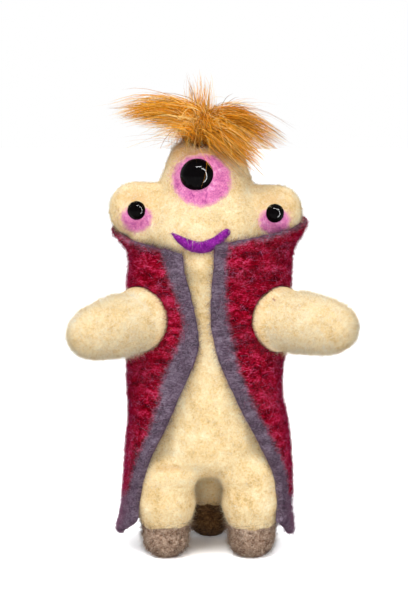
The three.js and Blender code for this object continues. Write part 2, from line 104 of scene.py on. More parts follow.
def new_material(name):
    """A material with an empty node tree, and a function that adds nodes to it."""
    material = bpy.data.materials.new(name)
    material.use_nodes = True
    material.node_tree.nodes.clear()
    return material, partial(add_node, material.node_tree)


def seen_directly(add):
    """1 where the camera, a reflection or a view through something meets a surface, and 0 for light."""
    straight, mirrored, through = (
        add("LightPath", out=f"Is {kind} Ray") for kind in ("Camera", "Glossy", "Transmission")
    )
    return add("Math", {0: straight, 1: add("Math", {0: mirrored, 1: through})}, use_clamp=True)


def white_table():
    """Matt white laminate: even but for a faint mottle, and pure white where the table is far off."""
    material, add = new_material("white_laminate_table")
    place = add("TexCoord", out="Object")
    grit = add("TexNoise", {"Vector": place, "Scale": 1 / (40 * MM)})
    shade = add("MapRange", {0: grit, 3: 0.92, 4: 0.95})
    seen = seen_directly(add)
    lift = add("Math", {0: seen, 1: floor_lift, 2: 1}, operation="MULTIPLY_ADD")
    matt = add("BsdfDiffuse", {"Color": add("Math", {0: shade, 1: lift}, operation="MULTIPLY")})
    away = add("VectorMath", {0: place}, out="Value", operation="LENGTH")
    reach = {0: away, 1: shine_starts, 2: shine_ends, 3: floor_shine, 4: 1}
    shine = add("MapRange", reach, interpolation_type="SMOOTHSTEP")
    glow = add("Emission", {"Strength": add("Math", {0: seen, 1: shine}, operation="MULTIPLY")})
    add("OutputMaterial", {"Surface": add("AddShader", {0: matt, 1: glow})})
    return material


bpy.ops.mesh.primitive_plane_add(size=floor_size)
floor = bpy.context.object
floor.name = "floor"
floor.data.materials.append(white_table())

# Light: an even white sky, a large soft lamp ahead to the left and above, weaker ones overhead, to the
# right and low in front, and an arc of narrow strips that only shows as a glint in the eyes.
sky_level = 0.36
middle_eye = Vector((-7, -25, 180))
glint_away = 260
glint_arc, glint_ahead = 0.92, -0.4  # shares of that distance


def white_sky():
    world = bpy.data.worlds.new("white_sky")
    world.use_nodes = True
    world.node_tree.nodes.clear()
    add = partial(add_node, world.node_tree)
    light = add("Background", {"Color": linear("#f6f7ff"), "Strength": sky_level})
    white = add("Background", {"Color": linear("#ffffff"), "Strength": 1})
    add("OutputWorld", {"Surface": add("MixShader", {0: seen_directly(add), 1: light, 2: white})})
    return world


def soft_lamp(name, place, size, power, aim=(0, 0, 110), roll=0):
    """A rectangular lamp at a place in mm, turned to face a point on the toy and then rolled."""
    bpy.ops.object.light_add(type="AREA", location=Vector(place) * MM)
    lamp = bpy.context.object
    lamp.name = name
    lamp.data.shape = "RECTANGLE"
    lamp.data.size, lamp.data.size_y = (side * MM for side in size)
    lamp.data.energy = power
    towards = Vector(aim) * MM - lamp.location
    lamp.rotation_euler = (towards.to_track_quat("-Z", "Y") @ Quaternion((0, 0, 1), roll)).to_euler()
    return lamp


bpy.context.scene.world = white_sky()
for lamp in (
    soft_lamp("key_lamp", (-380, -640, 1250), (800, 700), 13.8),
    soft_lamp("top_lamp", (60, 420, 1200), (700, 500), 4),
    soft_lamp("fill_lamp", (850, -850, 620), (600, 600), 4),
    soft_lamp("low_lamp", (-100, -1100, 160), (600, 240), 2.2, aim=(0, 0, 60)),
):
    lamp.visible_glossy = False
for number, turn in enumerate((-28, 8, 44, 80)):
    angle = math.radians(turn)
    way = Vector((glint_arc * math.cos(angle), glint_ahead, glint_arc * math.sin(angle)))
    place = middle_eye + glint_away * way
    glint = soft_lamp(f"eye_glint_{number}", place, (16, 150), 6, aim=middle_eye, roll=angle)
    glint.visible_diffuse = False
    glint.visible_camera = False

# Body: torso and three legs down to the soles, needle-felted in one from cream wool. Hand felting leaves
# soft joins, a low ridge down the belly, a crease at one hip and a lumpy skin. An ochre painted shade
# darkens the crease and the rear leg, which stands in the shade under the torso.
cream_shades = ("#cda766", "#eccb90", "#f7deaa", "#fff0ca")
cream_fibre = "#fff4d2"
# The colour of the ochre painted shade in creases and under other parts
ochre_shade = "#c8893f"
legs = ("left_front", "right_front", "rear")
legs_middle = -0.6  # of the front legs, across in mm
legs_back = 3  # how far back the front legs reach
# Wool that fills the joins: the place and radius of each ball, in mm
body_filling = [((-2, -3, 140), 20.5)]
for side in (1, -1):
    for back in (-19, -12, -4):
        body_filling.append(((side * 10.6 + legs_middle, back, 38), 5.4))
skin_lift = 0.6  # of the felt over the CAD solids
# Heights between which the wool of each part swells, and between which that ends
swell_bands = {
    "fork": (24, 33, 44, 54), "inner": (11, 18, 33, 42), "shin": (14, 20, 25, 35), "foot": (0, 3, 7, 15),
    "hip": (34, 42, 47, 56),
}
shin_swell = 1.5
foot_swell = 0.5
sole_round = 1.4
inner_swell = 0.5  # of the front legs, towards each other
hip_swell = 2.4  # of the wool over the fork
belly_ridge = {"x": -3.2, "up": (58, 68, 76, 84), "half": 3.2, "rise": 0.8}
hip_crease = {"across": (-28, -22, -16, -11), "z": 44.5, "half": 1.6, "depth": 1.3}
# How strongly ochre painted shade darkens the hip crease, and the rear leg under the torso
crease_shade, rear_leg_shade = 0.6, 0.7


def modify(piece, kind, **settings):
    """Adds a modifier with these settings to a piece and applies it."""
    modifier = piece.modifiers.new(kind.lower(), kind)
    for name, value in settings.items():
        setattr(modifier, name, value)
    bpy.context.view_layer.objects.active = piece
    bpy.ops.object.modifier_apply(modifier=modifier.name)


def select(*pieces):
    bpy.ops.object.select_all(action="DESELECT")
    for piece in pieces:
        piece.select_set(True)
    bpy.context.view_layer.objects.active = pieces[0]


def lumps(piece, size, depth):
    """Pushes a skin in and out in soft lumps of a size, by a depth, both in mm."""
    texture = bpy.data.textures.new(f"{piece.name}_lumps", "CLOUDS")
    texture.noise_scale = size * MM
    texture.noise_depth = 1
    modify(piece, "DISPLACE", texture=texture, texture_coords="LOCAL", strength=2 * depth * MM, mid_level=0.5)


def felt_over(name, nodes, balls=(), grain=1, rounds=16):
    """One felted skin over copies of CAD nodes and over balls, each a place and a radius in mm."""
    forms = []
    for node in nodes:
        form = bpy.data.objects.new(name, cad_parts[node].data.copy())
        form.data.materials.clear()
        bpy.context.collection.objects.link(form)
        select(form)
        bpy.ops.object.mode_set(mode="EDIT")
        bpy.ops.mesh.select_all(action="SELECT")
        bpy.ops.mesh.remove_doubles(threshold=0.01 * MM)
        bpy.ops.object.mode_set(mode="OBJECT")
        modify(form, "DISPLACE", strength=skin_lift * MM, mid_level=0)
        forms.append(form)
    for place, radius in balls:
        spot = Vector(place) * MM
        bpy.ops.mesh.primitive_uv_sphere_add(segments=32, ring_count=16, radius=radius * MM, location=spot)
        forms.append(bpy.context.object)
        bpy.ops.object.transform_apply()
    select(*forms)
    bpy.ops.object.join()
    piece = bpy.context.object
    piece.name = piece.data.name = name
    modify(piece, "REMESH", mode="VOXEL", voxel_size=grain * MM, use_smooth_shade=True)
    modify(piece, "SMOOTH", factor=0.5, iterations=rounds)
    return piece


def soften(piece, weights, rounds):
    """Smooths a piece by weights of its points."""
    group = piece.vertex_groups.new(name="soft")
    for i in np.flatnonzero(weights > 0.02):
        group.add([int(i)], float(weights[i]), "REPLACE")
    modify(piece, "SMOOTH", factor=0.5, iterations=rounds, vertex_group="soft")
    piece.vertex_groups.clear()


def read_all(items, name, width, kind=float):
    """What all of a mesh's items say under a name, as rows of a width."""
    values = np.empty(len(items) * width, kind)
    items.foreach_get(name, values)
    return values.reshape(-1, width)


def points_of(piece):
    """A piece's points in mm, and their normals."""
    points = piece.data.vertices
    return read_all(points, "co", 3) / MM, read_all(points, "normal", 3)


def move_points(piece, places):
    piece.data.vertices.foreach_set("co", (places * MM).ravel())
    piece.data.update()


def flatten_soles(piece):
    """Lifts the points of a piece that lie below the floor onto it."""
    places, _ = points_of(piece)
    places[:, 2] = np.maximum(places[:, 2], 0)
    move_points(piece, places)


def keep_values(piece, name, values):
    """Keeps a number for each point of a piece, which its material reads."""
    layer = piece.data.attributes.new(name, "FLOAT", "POINT")
    layer.data.foreach_set("value", values.astype(np.float32))


def ease(start, stop, values):
    """0 up to start and 1 from stop on, with a smooth rise between them."""
    share = np.clip((values - start) / (stop - start), 0, 1)
    return share * share * (3 - 2 * share)


def band(limits, values):
    """1 in a band of values, with a smooth rise before it and a smooth fall after it."""
    start, full, ebb, stop = limits
    return ease(start, full, values) * (1 - ease(ebb, stop, values))


def thin_lines(add, place, spacing, layer, curl, width):
    """1 along curly lines like loose fibres, and 0 between them. Each layer is another tangle."""
    tangle = {"Vector": place, "W": layer, "Scale": 1 / (spacing * MM), "Detail": 1, "Distortion": curl}
    wave = add("TexNoise", tangle, noise_dimensions="4D")
    off = add("Math", {0: wave, 1: 0.5}, operation="SUBTRACT")
    line = add("Math", {0: off}, operation="ABSOLUTE")
    return add("MapRange", {0: line, 1: 0, 2: width, 3: 1, 4: 0})


def wool_felt(name, shades, fibre, blotch=7, tangle=2.4, show=0.35, gap_shade=0.16, ground=None):
    """Felted wool, matt and soft: blotches of unlike shades, and a tangle of fine curly fibres that catch
    the light, with painted shade in the gaps between them, drawn about 0.3 mm wide, coarser than real
    ones, so that they show. An ochre painted shade darkens it by the piece's painted shade values. A thin
    layer lets the wool below, its ground, through at its rim."""
    material, add = new_material(name)
    place = add("TexCoord", out="Object")
    cloud = add("TexNoise", {"Vector": place, "Scale": 1 / (blotch * MM), "Detail": 4, "Roughness": 0.6})
    fine = {"Vector": place, "Scale": 1 / (1.3 * MM), "Detail": 3, "Roughness": 0.7, "Distortion": 0.8}
    grain = add("TexNoise", fine)
    tone = add("Mix", {0: 0.46, 2: cloud, 3: grain})
    wool = add("ValToRGB", {0: tone}, stops=zip(np.linspace(0.36, 0.64, len(shades)), shades))
    shaded_gaps, *hairs = (thin_lines(add, place, tangle, 3.7 * layer, 1.2, 0.03) for layer in range(3))
    hairs = add("Math", {0: hairs[0], 1: hairs[1]}, operation="MAXIMUM")
    # Painted shade in the gaps between the fibres
    share = add("Math", {0: shaded_gaps, 1: gap_shade}, operation="MULTIPLY")
    colour = add("Mix", {0: share, 6: wool, 7: linear(shades[0])}, out=2, data_type="RGBA")
    share = add("Math", {0: hairs, 1: show}, operation="MULTIPLY")
    colour = add("Mix", {0: share, 6: colour, 7: linear(fibre)}, out=2, data_type="RGBA")
    # Ochre painted shade, as strong as the piece's painted shade values
    painted_shade_share = add("Attribute", out="Fac", attribute_name="painted_shade")
    share = add("Math", {0: painted_shade_share, 1: tone}, operation="MULTIPLY")
    colour = add("Mix", {0: share, 6: colour, 7: linear(ochre_shade)}, out=2, data_type="RGBA")
    if ground:
        rim = add("Attribute", out="Fac", attribute_name="rim")
        cover = add("MapRange", {0: add("Math", {0: rim, 1: grain}), 1: 0.55, 2: 1.2})
        colour = add("Mix", {0: cover, 6: linear(ground), 7: colour}, out=2, data_type="RGBA")
    relief = {"Height": add("Math", {0: grain, 1: hairs}), "Strength": 0.5, "Distance": 0.5 * MM}
    add("OutputMaterial", {"Surface": add("BsdfPrincipled", {
        "Base Color": colour,
        "Normal": add("Bump", relief),
        "Roughness": 1,
        "Specular IOR Level": 0,
        "Sheen Weight": 0.12,
        "Sheen Roughness": 0.5,
    })})
    return material


cream_felt = wool_felt("cream_wool_felt", cream_shades, cream_fibre)
leg_nodes = [f"{leg}_leg" for leg in legs]
cap_nodes = [f"{leg}_foot_cap" for leg in legs]
body = felt_over("felt_body", ["torso", *leg_nodes, *cap_nodes], balls=body_filling)
places, _ = points_of(body)
x, _, z = places.T
fork = band(swell_bands["fork"], z) * (1 - ease(15, 23, np.abs(x - legs_middle)))
soften(body, fork, rounds=80)
places, normals = points_of(body)
x, y, z = places.T
inner, shin, foot, hip = (band(swell_bands[part], z) for part in ("inner", "shin", "foot", "hip"))
inner *= np.clip(-np.sign(x - legs_middle) * normals[:, 0], 0, 1) * (y < legs_back)
sole = (1 - ease(0, 6, z)) * np.hypot(normals[:, 0], normals[:, 1])
hip *= np.clip(-normals[:, 1], 0, 1) * (1 - ease(14, 24, np.abs(x - legs_middle)))
crease = band(hip_crease["across"], x) * (normals[:, 1] < 0)
crease *= np.exp(-((z - hip_crease["z"]) / hip_crease["half"]) ** 2)
ridge = band(belly_ridge["up"], z) * (normals[:, 1] < 0)
ridge *= np.exp(-((x - belly_ridge["x"]) / belly_ridge["half"]) ** 2)
rise = shin_swell * shin + foot_swell * foot - sole_round * sole + inner_swell * inner + hip_swell * hip
rise += belly_ridge["rise"] * ridge - hip_crease["depth"] * crease
move_points(body, places + normals * rise[:, None])
lumps(body, size=9, depth=0.3)
flatten_soles(body)
# Painted shade on the rear leg, under the torso, and in the hip crease
on_rear_leg = (1 - ease(34, 44, z)) * ease(4, 12, y)
keep_values(body, "painted_shade", np.clip(crease_shade * crease + rear_leg_shade * on_rear_leg, 0, 1))
body.data.materials.append(cream_felt)
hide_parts("torso", *leg_nodes)
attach(body, "toy")

# Feet: a thin layer of brown sheep's wool round the end of each leg. It is felted on with a needle, so its
# upper edge is ragged and lets the cream wool through.
front_brown = ("#2c1a12", "#7c5c4a", "#b4957e", "#ecd8c0")
brown_shades = {
    "left_front": front_brown,
    "right_front": front_brown,
    "rear": ("#120702", "#4e2f18", "#76522e", "#a47e54"),
}
cap_rims = {"left_front": 16.6, "right_front": 16.8, "rear": 19.6}
cap_reach = 17  # from a foot's middle
layer_depth = 1.2
rim_sink = 0.5


def ragged(places, size, depth, seed=0):
    """Smooth random numbers over points in mm, in waves of a size, up to about a depth either way."""
    rng = np.random.default_rng(seed)
    total = np.zeros(len(places))
    for _ in range(12):
        way = rng.normal(size=3)
        way *= 2 * math.pi / size / np.linalg.norm(way)
        total += np.sin(places @ way * rng.uniform(0.7, 1.6) + rng.uniform(0, 6.28))
    return total * depth / 5


def layer_on(base, name, inside, thickness, edge=2.5, under=1.2, fade=1):
    """A layer of wool felted on a base piece: inside gives each point's distance in mm within the layer's
    outline. It swells to its thickness, its edges sink into the base, and its rim values fade there."""
    select(base)
    bpy.ops.object.duplicate()
    piece = bpy.context.object
    piece.name = piece.data.name = name
    piece.parent = None
    for key in [key for key in piece.keys() if key.startswith("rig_")]:
        del piece[key]
    piece.data.materials.clear()
    piece.data.attributes.remove(piece.data.attributes["painted_shade"])
    places, normals = points_of(piece)
    depth = inside(places, normals)
    bpy.ops.object.mode_set(mode="EDIT")
    bpy.ops.mesh.select_all(action="DESELECT")
    bpy.ops.mesh.select_mode(type="VERT")
    bpy.ops.object.mode_set(mode="OBJECT")
    piece.data.vertices.foreach_set("select", depth < -under)
    bpy.ops.object.mode_set(mode="EDIT")
    bpy.ops.mesh.delete(type="VERT")
    bpy.ops.object.mode_set(mode="OBJECT")
    modify(piece, "SUBSURF", levels=1, render_levels=1)
    places, normals = points_of(piece)
    depth = inside(places, normals)
    swell = (thickness + rim_sink) * ease(-under, edge, depth) - rim_sink
    move_points(piece, places + normals * swell[:, None])
    keep_values(piece, "rim", np.clip(depth / fade, 0, 1))
    modify(piece, "SOLIDIFY", thickness=layer_depth * MM, offset=-1)
    return piece


def in_cap(leg, places, normals):
    """How far places lie within the brown wool of a leg's foot."""
    low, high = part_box(f"{leg}_foot_cap")
    middle = (low + high) / 2 / MM
    away = np.hypot(places[:, 0] - middle.x, places[:, 1] - middle.y)
    rim = cap_rims[leg] + ragged(places, 8, 0.8, seed=1) - places[:, 2]
    return np.minimum(rim, cap_reach - away)


caps = {}
for leg in legs:
    shades = brown_shades[leg]
    brown_felt = wool_felt(
        f"{leg}_brown_wool_felt", shades, shades[-1], blotch=2, tangle=1.6, show=0.6, gap_shade=0.6,
        ground=cream_shades[1],
    )
    cap = layer_on(body, f"{leg}_foot", partial(in_cap, leg), thickness=0.25, fade=1.8)
    flatten_soles(cap)
    cap.data.materials.append(brown_felt)
    caps[leg] = cap
    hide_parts(f"{leg}_foot_cap")
    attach(cap, "toy")

# Head: the bell-shaped middle and its two lobes, felted in one from the same cream wool and set on the
# neck. Wool packed behind each eye bead gives it a seat, and a warm painted shade lies over the side eyes
# and under the fur on the crown.
eyes = ("middle", "left", "right")
bead_places = {}
bead_radii = {}
for eye in eyes:
    low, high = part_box(f"{eye}_eye_bead")
    bead_places[eye] = (low + high) / 2 / MM
    bead_radii[eye] = (high.z - low.z) / 2 / MM
seat_back, seat_size = 0.56, 1.18  # of the wool behind a bead, as shares of the bead's radius
# Warm painted shade under the fur on the crown, and over each side eye; places and sizes in mm
crown_shade = {"up": (181, 190), "share": 1.3}
brow_shade = {"over_eye": (0, -1, 5.5), "size": (8, 8, 4.5), "share": 0.8}
packing = [((-29, -6, 152.5), 9), ((24, -6, 154), 9)]  # first the wool between each cheek and its lobe
for eye in eyes:
    radius = bead_radii[eye]
    packing.append((bead_places[eye] + Vector((0, seat_back * radius, 0)), seat_size * radius))
head = felt_over("felt_head", ["head", "left_eye_lobe", "right_eye_lobe"], balls=packing, rounds=14)
lumps(head, size=9, depth=0.28)
places, _ = points_of(head)
# Warm painted shade under the fur on the crown, and over each side eye
head_shade = crown_shade["share"] * ease(*crown_shade["up"], places[:, 2])
for eye in ("left", "right"):
    apart = (places - (np.array(bead_places[eye]) + brow_shade["over_eye"])) / brow_shade["size"]
    head_shade = np.maximum(head_shade, brow_shade["share"] * np.exp(-(apart ** 2).sum(axis=1)))
keep_values(head, "painted_shade", head_shade)
head.data.materials.append(cream_felt)
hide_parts("head", "left_eye_lobe", "right_eye_lobe")
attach(head, "toy")

# Eye patches: thin rounds of pink wool with darker magenta wisps, one behind each eye. They are felted on
# the head, and thin out towards a soft rim.
pink_shades = ("#a84488", "#dc78ae", "#ec8fbe", "#f8b9da")
patch_spread = 1.2  # beyond the CAD patch, where it thins out
face_limit = 0.1  # the wool of the face has normals with less Y than this
pink_felt = wool_felt(
    "pink_wool_felt", pink_shades, "#b4489c", blotch=4, show=0.5, gap_shade=0.5, ground=cream_shades[2],
)


def in_patch(eye, places, normals):
    """How far places lie within the pink wool round an eye."""
    low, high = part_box(f"{eye}_eye_patch")
    centre = (low + high) / 2 / MM
    half_height = (high.z - low.z) / 2 / MM
    across = (places[:, 0] - centre.x) / ((high.x - low.x) / 2 / MM)
    up = (places[:, 2] - centre.z) / half_height
    within = (1 - np.hypot(across, up)) * half_height + ragged(places, 5, 0.4, seed=2) + patch_spread
    return np.where(normals[:, 1] < face_limit, within, -99)


patches = {}
for eye in eyes:
    patch = layer_on(head, f"{eye}_eye_round", partial(in_patch, eye), thickness=0.3, fade=3.6)
    patch.data.materials.append(pink_felt)
    patches[eye] = patch
    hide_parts(f"{eye}_eye_patch")
    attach(patch, "toy")

# Mouth: a roll of purple wool with darker strands, laid in a smile below the eyes. It is felted on, so that
# its edges sink into the head.
purple_shades = ("#3e0646", "#7c1488", "#9e28a8", "#bc52c0")
# Across and up, in mm, and half the roll's height there
smile_rows = (
    (0, -17.2, 153.4, 1), (0.25, -12, 149.6, 2.5), (0.5, -5.2, 147.1, 3.1), (0.75, 1.9, 149.2, 3),
    (1, 7.4, 154, 2.1),
)


def smooth_through(rows):
    """A smooth curve through rows of position and values, as a function of the position."""
    table = np.array(rows, float)
    at, values = table[:, 0], table[:, 1:]
    slopes = np.gradient(values, at, axis=0)

    def value_at(position):
        position = np.clip(position, at[0], at[-1])
        i = np.clip(np.searchsorted(at, position) - 1, 0, len(at) - 2)
        span = (at[i + 1] - at[i])[..., None]
        t = (position - at[i])[..., None] / span
        start = values[i] * (1 + 2 * t) + slopes[i] * span * t
        stop = values[i + 1] * (3 - 2 * t) + slopes[i + 1] * span * (t - 1)
        return start * (1 - t) ** 2 + stop * t ** 2

    return value_at


smile = smooth_through(smile_rows)(np.linspace(0, 1, 50))


def in_smile(places, normals):
    apart = np.hypot(places[:, 0, None] - smile[:, 0], places[:, 2, None] - smile[:, 1])
    within = (smile[:, 2] - apart).max(axis=1) + ragged(places, 6, 0.2, seed=3)
    return np.where(normals[:, 1] < face_limit, within, -99)


mouth = layer_on(head, "mouth_roll", in_smile, thickness=1.4, edge=2.6, under=0.8, fade=0.6)
mouth.data.materials.append(wool_felt(
    "purple_wool_felt", purple_shades, "#651c70", blotch=3, tangle=1.8, show=0.5, gap_shade=0.5,
    ground=cream_shades[1],
))
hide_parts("mouth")
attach(mouth, "toy")

# Eyes: black plastic beads, one large and two small, moulded and polished like glass. Each has its back in
# the wool, and is held by a waxed linen thread through the head.
flat_from, flattened = 0.55, 0.8  # of a bead's back: from which share of its radius, and by how much


def polished_plastic():
    """Moulded black plastic, tumbled to a gloss: near black, with sharp reflections and faint scuffs."""
    material, add = new_material("polished_black_plastic")
    place = add("TexCoord", out="Object")
    scuff = add("TexNoise", {"Vector": place, "Scale": 1 / (1.5 * MM), "Detail": 3})
    tint = {0: scuff, 6: linear("#040304"), 7: linear("#0a0708")}
    add("OutputMaterial", {"Surface": add("BsdfPrincipled", {
        "Base Color": add("Mix", tint, out=2, data_type="RGBA"),
        "Roughness": add("MapRange", {0: scuff, 3: 0.02, 4: 0.09}),
        "IOR": 1.49,
        "Specular IOR Level": 0.018,
    })})
    return material


def waxed_thread():
    """Waxed linen thread: pale, twisted from two plies, with a slight shine."""
    material, add = new_material("waxed_linen_thread")
    twist = {"Vector": add("TexCoord", out="Object"), "Scale": 1 / (6 * MM), "Distortion": 2}
    plies = add("TexWave", twist, out="Fac", bands_direction="DIAGONAL")
    tint = {0: plies, 6: linear("#cfc2a6"), 7: linear("#efe6d2")}
    add("OutputMaterial", {"Surface": add("BsdfPrincipled", {
        "Base Color": add("Mix", tint, out=2, data_type="RGBA"),
        "Normal": add("Bump", {"Height": plies, "Strength": 0.5, "Distance": 0.2 * MM}),
        "Roughness": 0.6,
    })})
    return material


def finish_node(node, material):
    """Gives a CAD node that stays its material."""
    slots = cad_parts[node].data.materials
    slots.clear()
    slots.append(material)


black_plastic = polished_plastic()
thread = waxed_thread()
for eye in eyes:
    radius = bead_radii[eye]
    spot = bead_places[eye] * MM
    bpy.ops.mesh.primitive_uv_sphere_add(segments=48, ring_count=32, radius=radius * MM, location=spot)
    bead = bpy.context.object
    bead.name = bead.data.name = f"{eye}_eye_button"
    bead.rotation_euler.x = math.pi / 2
    bpy.ops.object.transform_apply()
    places, _ = points_of(bead)
    back = places[:, 1] - bead_places[eye].y
    places[:, 1] -= np.clip(back - flat_from * radius, 0, None) * flattened
    move_points(bead, places)
    bpy.ops.object.shade_smooth()
    bead.data.materials.append(black_plastic)
    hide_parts(f"{eye}_eye_bead")
    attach(bead, "toy")
    finish_node(f"{eye}_eye_thread", thread)

# Shoulder cord: a waxed linen thread through the chest, hidden by the wool. A knot inside each arm holds
# the arm and lets it turn.
for node in ("shoulder_cord", "left_shoulder_knot", "right_shoulder_knot"):
    finish_node(node, thread)

# Arms: stubs of cream wool, felted round the knots of the cord. The round root of each turns in the coat's
# armhole.
sides = {"left": 1, "right": -1}
root_radius = 14.9
arm_turn = math.radians(60)  # from straight ahead
arm_droop = {"left": math.radians(4), "right": math.radians(11)}
# Distance along the arm and radius of the wool that fills it out behind the root
arm_filling = ((7, 14.2), (12, 13.8), (18, 13.3), (25, 12.6))
tip_slim = {"left": 0.04, "right": 0.14}  # share by which each tip is slimmer
slim_span = (14, 40)  # distances along the arm between which that comes
arms = {}
arm_lines = {}
for name, side in sides.items():
    low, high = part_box(f"{name}_shoulder_knot")
    root = (low + high) / 2 / MM
    droop = arm_droop[name]
    level = Vector((side * math.sin(arm_turn), -math.cos(arm_turn), 0))
    along = level * math.cos(droop) - Vector((0, 0, math.sin(droop)))
    filling = [(root, root_radius)] + [(root + along * far, radius) for far, radius in arm_filling]
    arm = felt_over(f"{name}_felt_arm", [f"{name}_arm"], balls=filling, rounds=30)
    lumps(arm, size=9, depth=0.3)
    places, _ = points_of(arm)
    far = (places - np.array(root)) @ np.array(along)
    axis = np.array(root) + far[:, None] * np.array(along)
    slim = tip_slim[name] * ease(*slim_span, far)
    move_points(arm, axis + (places - axis) * (1 - slim[:, None]))
    keep_values(arm, "painted_shade", np.zeros(len(places)))
    arm_lines[name] = np.array(root), np.array(along)
    arm.data.materials.append(cream_felt)
    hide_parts(f"{name}_arm")
    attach(arm, f"{name}_arm")
    arms[name] = arm

# Coat: two layers of felt worked into one cloth about 3.5 mm thick, red outside and grey inside. The grey
# shows along the front edges and the hem, where the red stops short. It has a back and two fronts.
felt_thickness = 3.5
red_step, step_half = 0.7, 1.5  # the red's rise over the grey, and half the width in which it comes
hem_height = {"left": 6.8, "right": 8}
armhole_radius = 15.8
squareness = 2.5  # 2 makes the coat's sections oval, more fills out their corners
# Height, half the width and half the depth of the coat
coat_rows = (
    (6, 42.1, 42.5), (55, 39, 35.6), (84, 37, 31.5), (102, 37.3, 30), (122, 38, 29), (141, 39.5, 28.5),
    (158, 45, 31.5), (168, 48, 33),
)
# Height, and how far each side of the coat leans out from those sections
lean_rows = {
    "left": (
        (6, -1.5), (20, -2.4), (40, -1.8), (55, -1.9), (66, -2.6), (76, -3.8), (88, -3.4), (100, -1.5),
        (127, -1), (168, 0),
    ),
    "right": (
        (6, 3.8), (20, 0.8), (40, -0.1), (55, -0.1), (66, -0.4), (78, 1.2), (90, 1.5), (105, 0.6),
        (118, 1), (128, 0), (140, -1.4), (150, -0.8), (168, 0),
    ),
}
# Height, and the front edge's distance from the toy's middle
front_rows = {
    "left": (
        (6, 35), (34, 35.2), (43, 33), (50, 29.4), (63, 22.2), (80, 12.6), (96, 4.2), (111, 0.6),
        (147, 2.4),
    ),
    "right": ((6, 35.2), (26, 35.8), (44, 31.9), (64, 22), (84, 11.6), (101, 5.4), (118, 7), (147, 16)),
}
# Height, and the width of the grey border there
border_rows = {
    "left": (
        (6, 9), (46, 8.4), (57, 7.4), (64, 6.8), (78, 7), (94, 8.2), (103, 8.8), (112, 8.2), (124, 7.4),
        (135, 6.6), (147, 7.6),
    ),
    "right": (
        (6, 7), (46, 7), (60, 7), (78, 9.4), (94, 11.6), (103, 9.5), (112, 6.4), (124, 7.2), (135, 9.4),
        (147, 12),
    ),
}
hem_border = 16.5
collar_border = 1.6
far_off = 50  # stands for the back's distance from the front edges
# Share of the way from the side seam to the front edge, and the collar's height there
collar_rows = {
    "left": ((0, 159), (0.3, 155), (0.65, 152), (1, 148)),
    "right": ((0, 154.5), (0.35, 149.5), (0.7, 147), (1, 144)),
}
back_collar_rows = ((0, 159), (0.5, 162), (1, 154.5))  # the same from the left seam to the right one
collar_fold = (133, 147)  # heights between which the collar comes to lie on the head
collar_press, front_press = 1.2, 4.5  # how far the collar is drawn in first, and how much more in front
lift_step, lift_most = 0.4, 10  # by which it is let out again
back_fold, fold_heights = 1.8, (12, 105)  # depth of the back's folds, and where they come and go
front_lift = {"left": 12, "right": 11}  # of the hem, from the side seam to the front edge
panel_rows = 88
back_columns, front_columns = 66, 44
head_tree = BVHTree.FromPolygons([v.co for v in head.data.vertices], [p.vertices for p in head.data.polygons])
coat_section = smooth_through(coat_rows)


def wrap(side, angle, height):
    """The coat's outer face at an angle from straight ahead, to one side, and at a height."""
    half = coat_section(height)
    across, ahead = np.sin(angle), np.cos(angle)
    fill = (np.abs(across) ** squareness + np.abs(ahead) ** squareness) ** (-1 / squareness)
    lean = smooth_through(lean_rows[side])(height)[..., 0]
    x = sides[side] * (half[..., 0] + lean) * across * fill
    return np.stack([x, -half[..., 1] * ahead * fill, height], axis=-1)


def edge_angle(side, height):
    out = smooth_through(front_rows[side])(height)[..., 0] / coat_section(height)[..., 0]
    return np.arctan(out / (1 - np.abs(out) ** squareness) ** (1 / squareness))


def over_skin(spot):
    """How far a place lies over the head's skin, in mm, less than 0 inside it."""
    near, normal, _, distance = head_tree.find_nearest(spot * MM)
    return distance / MM if (spot * MM - near).dot(normal) > 0 else -distance / MM


def lie_on_head(places):
    """Moves the points of a collar in or out until its felt lies on the head, and evens the moves out."""
    shift = np.zeros(places.shape[:2])
    for row, column in np.argwhere(places[..., 2] > collar_fold[0]):
        spot = Vector(places[row, column])
        out = Vector((spot.x, spot.y, 0)).normalized()
        share = ease(*collar_fold, spot.z)
        move = -share * (collar_press + front_press * max(0, -out.y) ** 2)
        while move < lift_most and over_skin(spot + out * move) < felt_thickness * 0.9:
            move += lift_step
        shift[row, column] = move
    for _ in range(6):
        padded = np.pad(shift, 1, mode="edge")
        shift = (padded[:-2, 1:-1] + padded[2:, 1:-1] + padded[1:-1, :-2] + padded[1:-1, 2:] + 2 * shift) / 6
    away = places[..., :2] / np.linalg.norm(places[..., :2], axis=2, keepdims=True)
    moved = places.copy()
    moved[..., :2] += away * shift[..., None]
    return moved


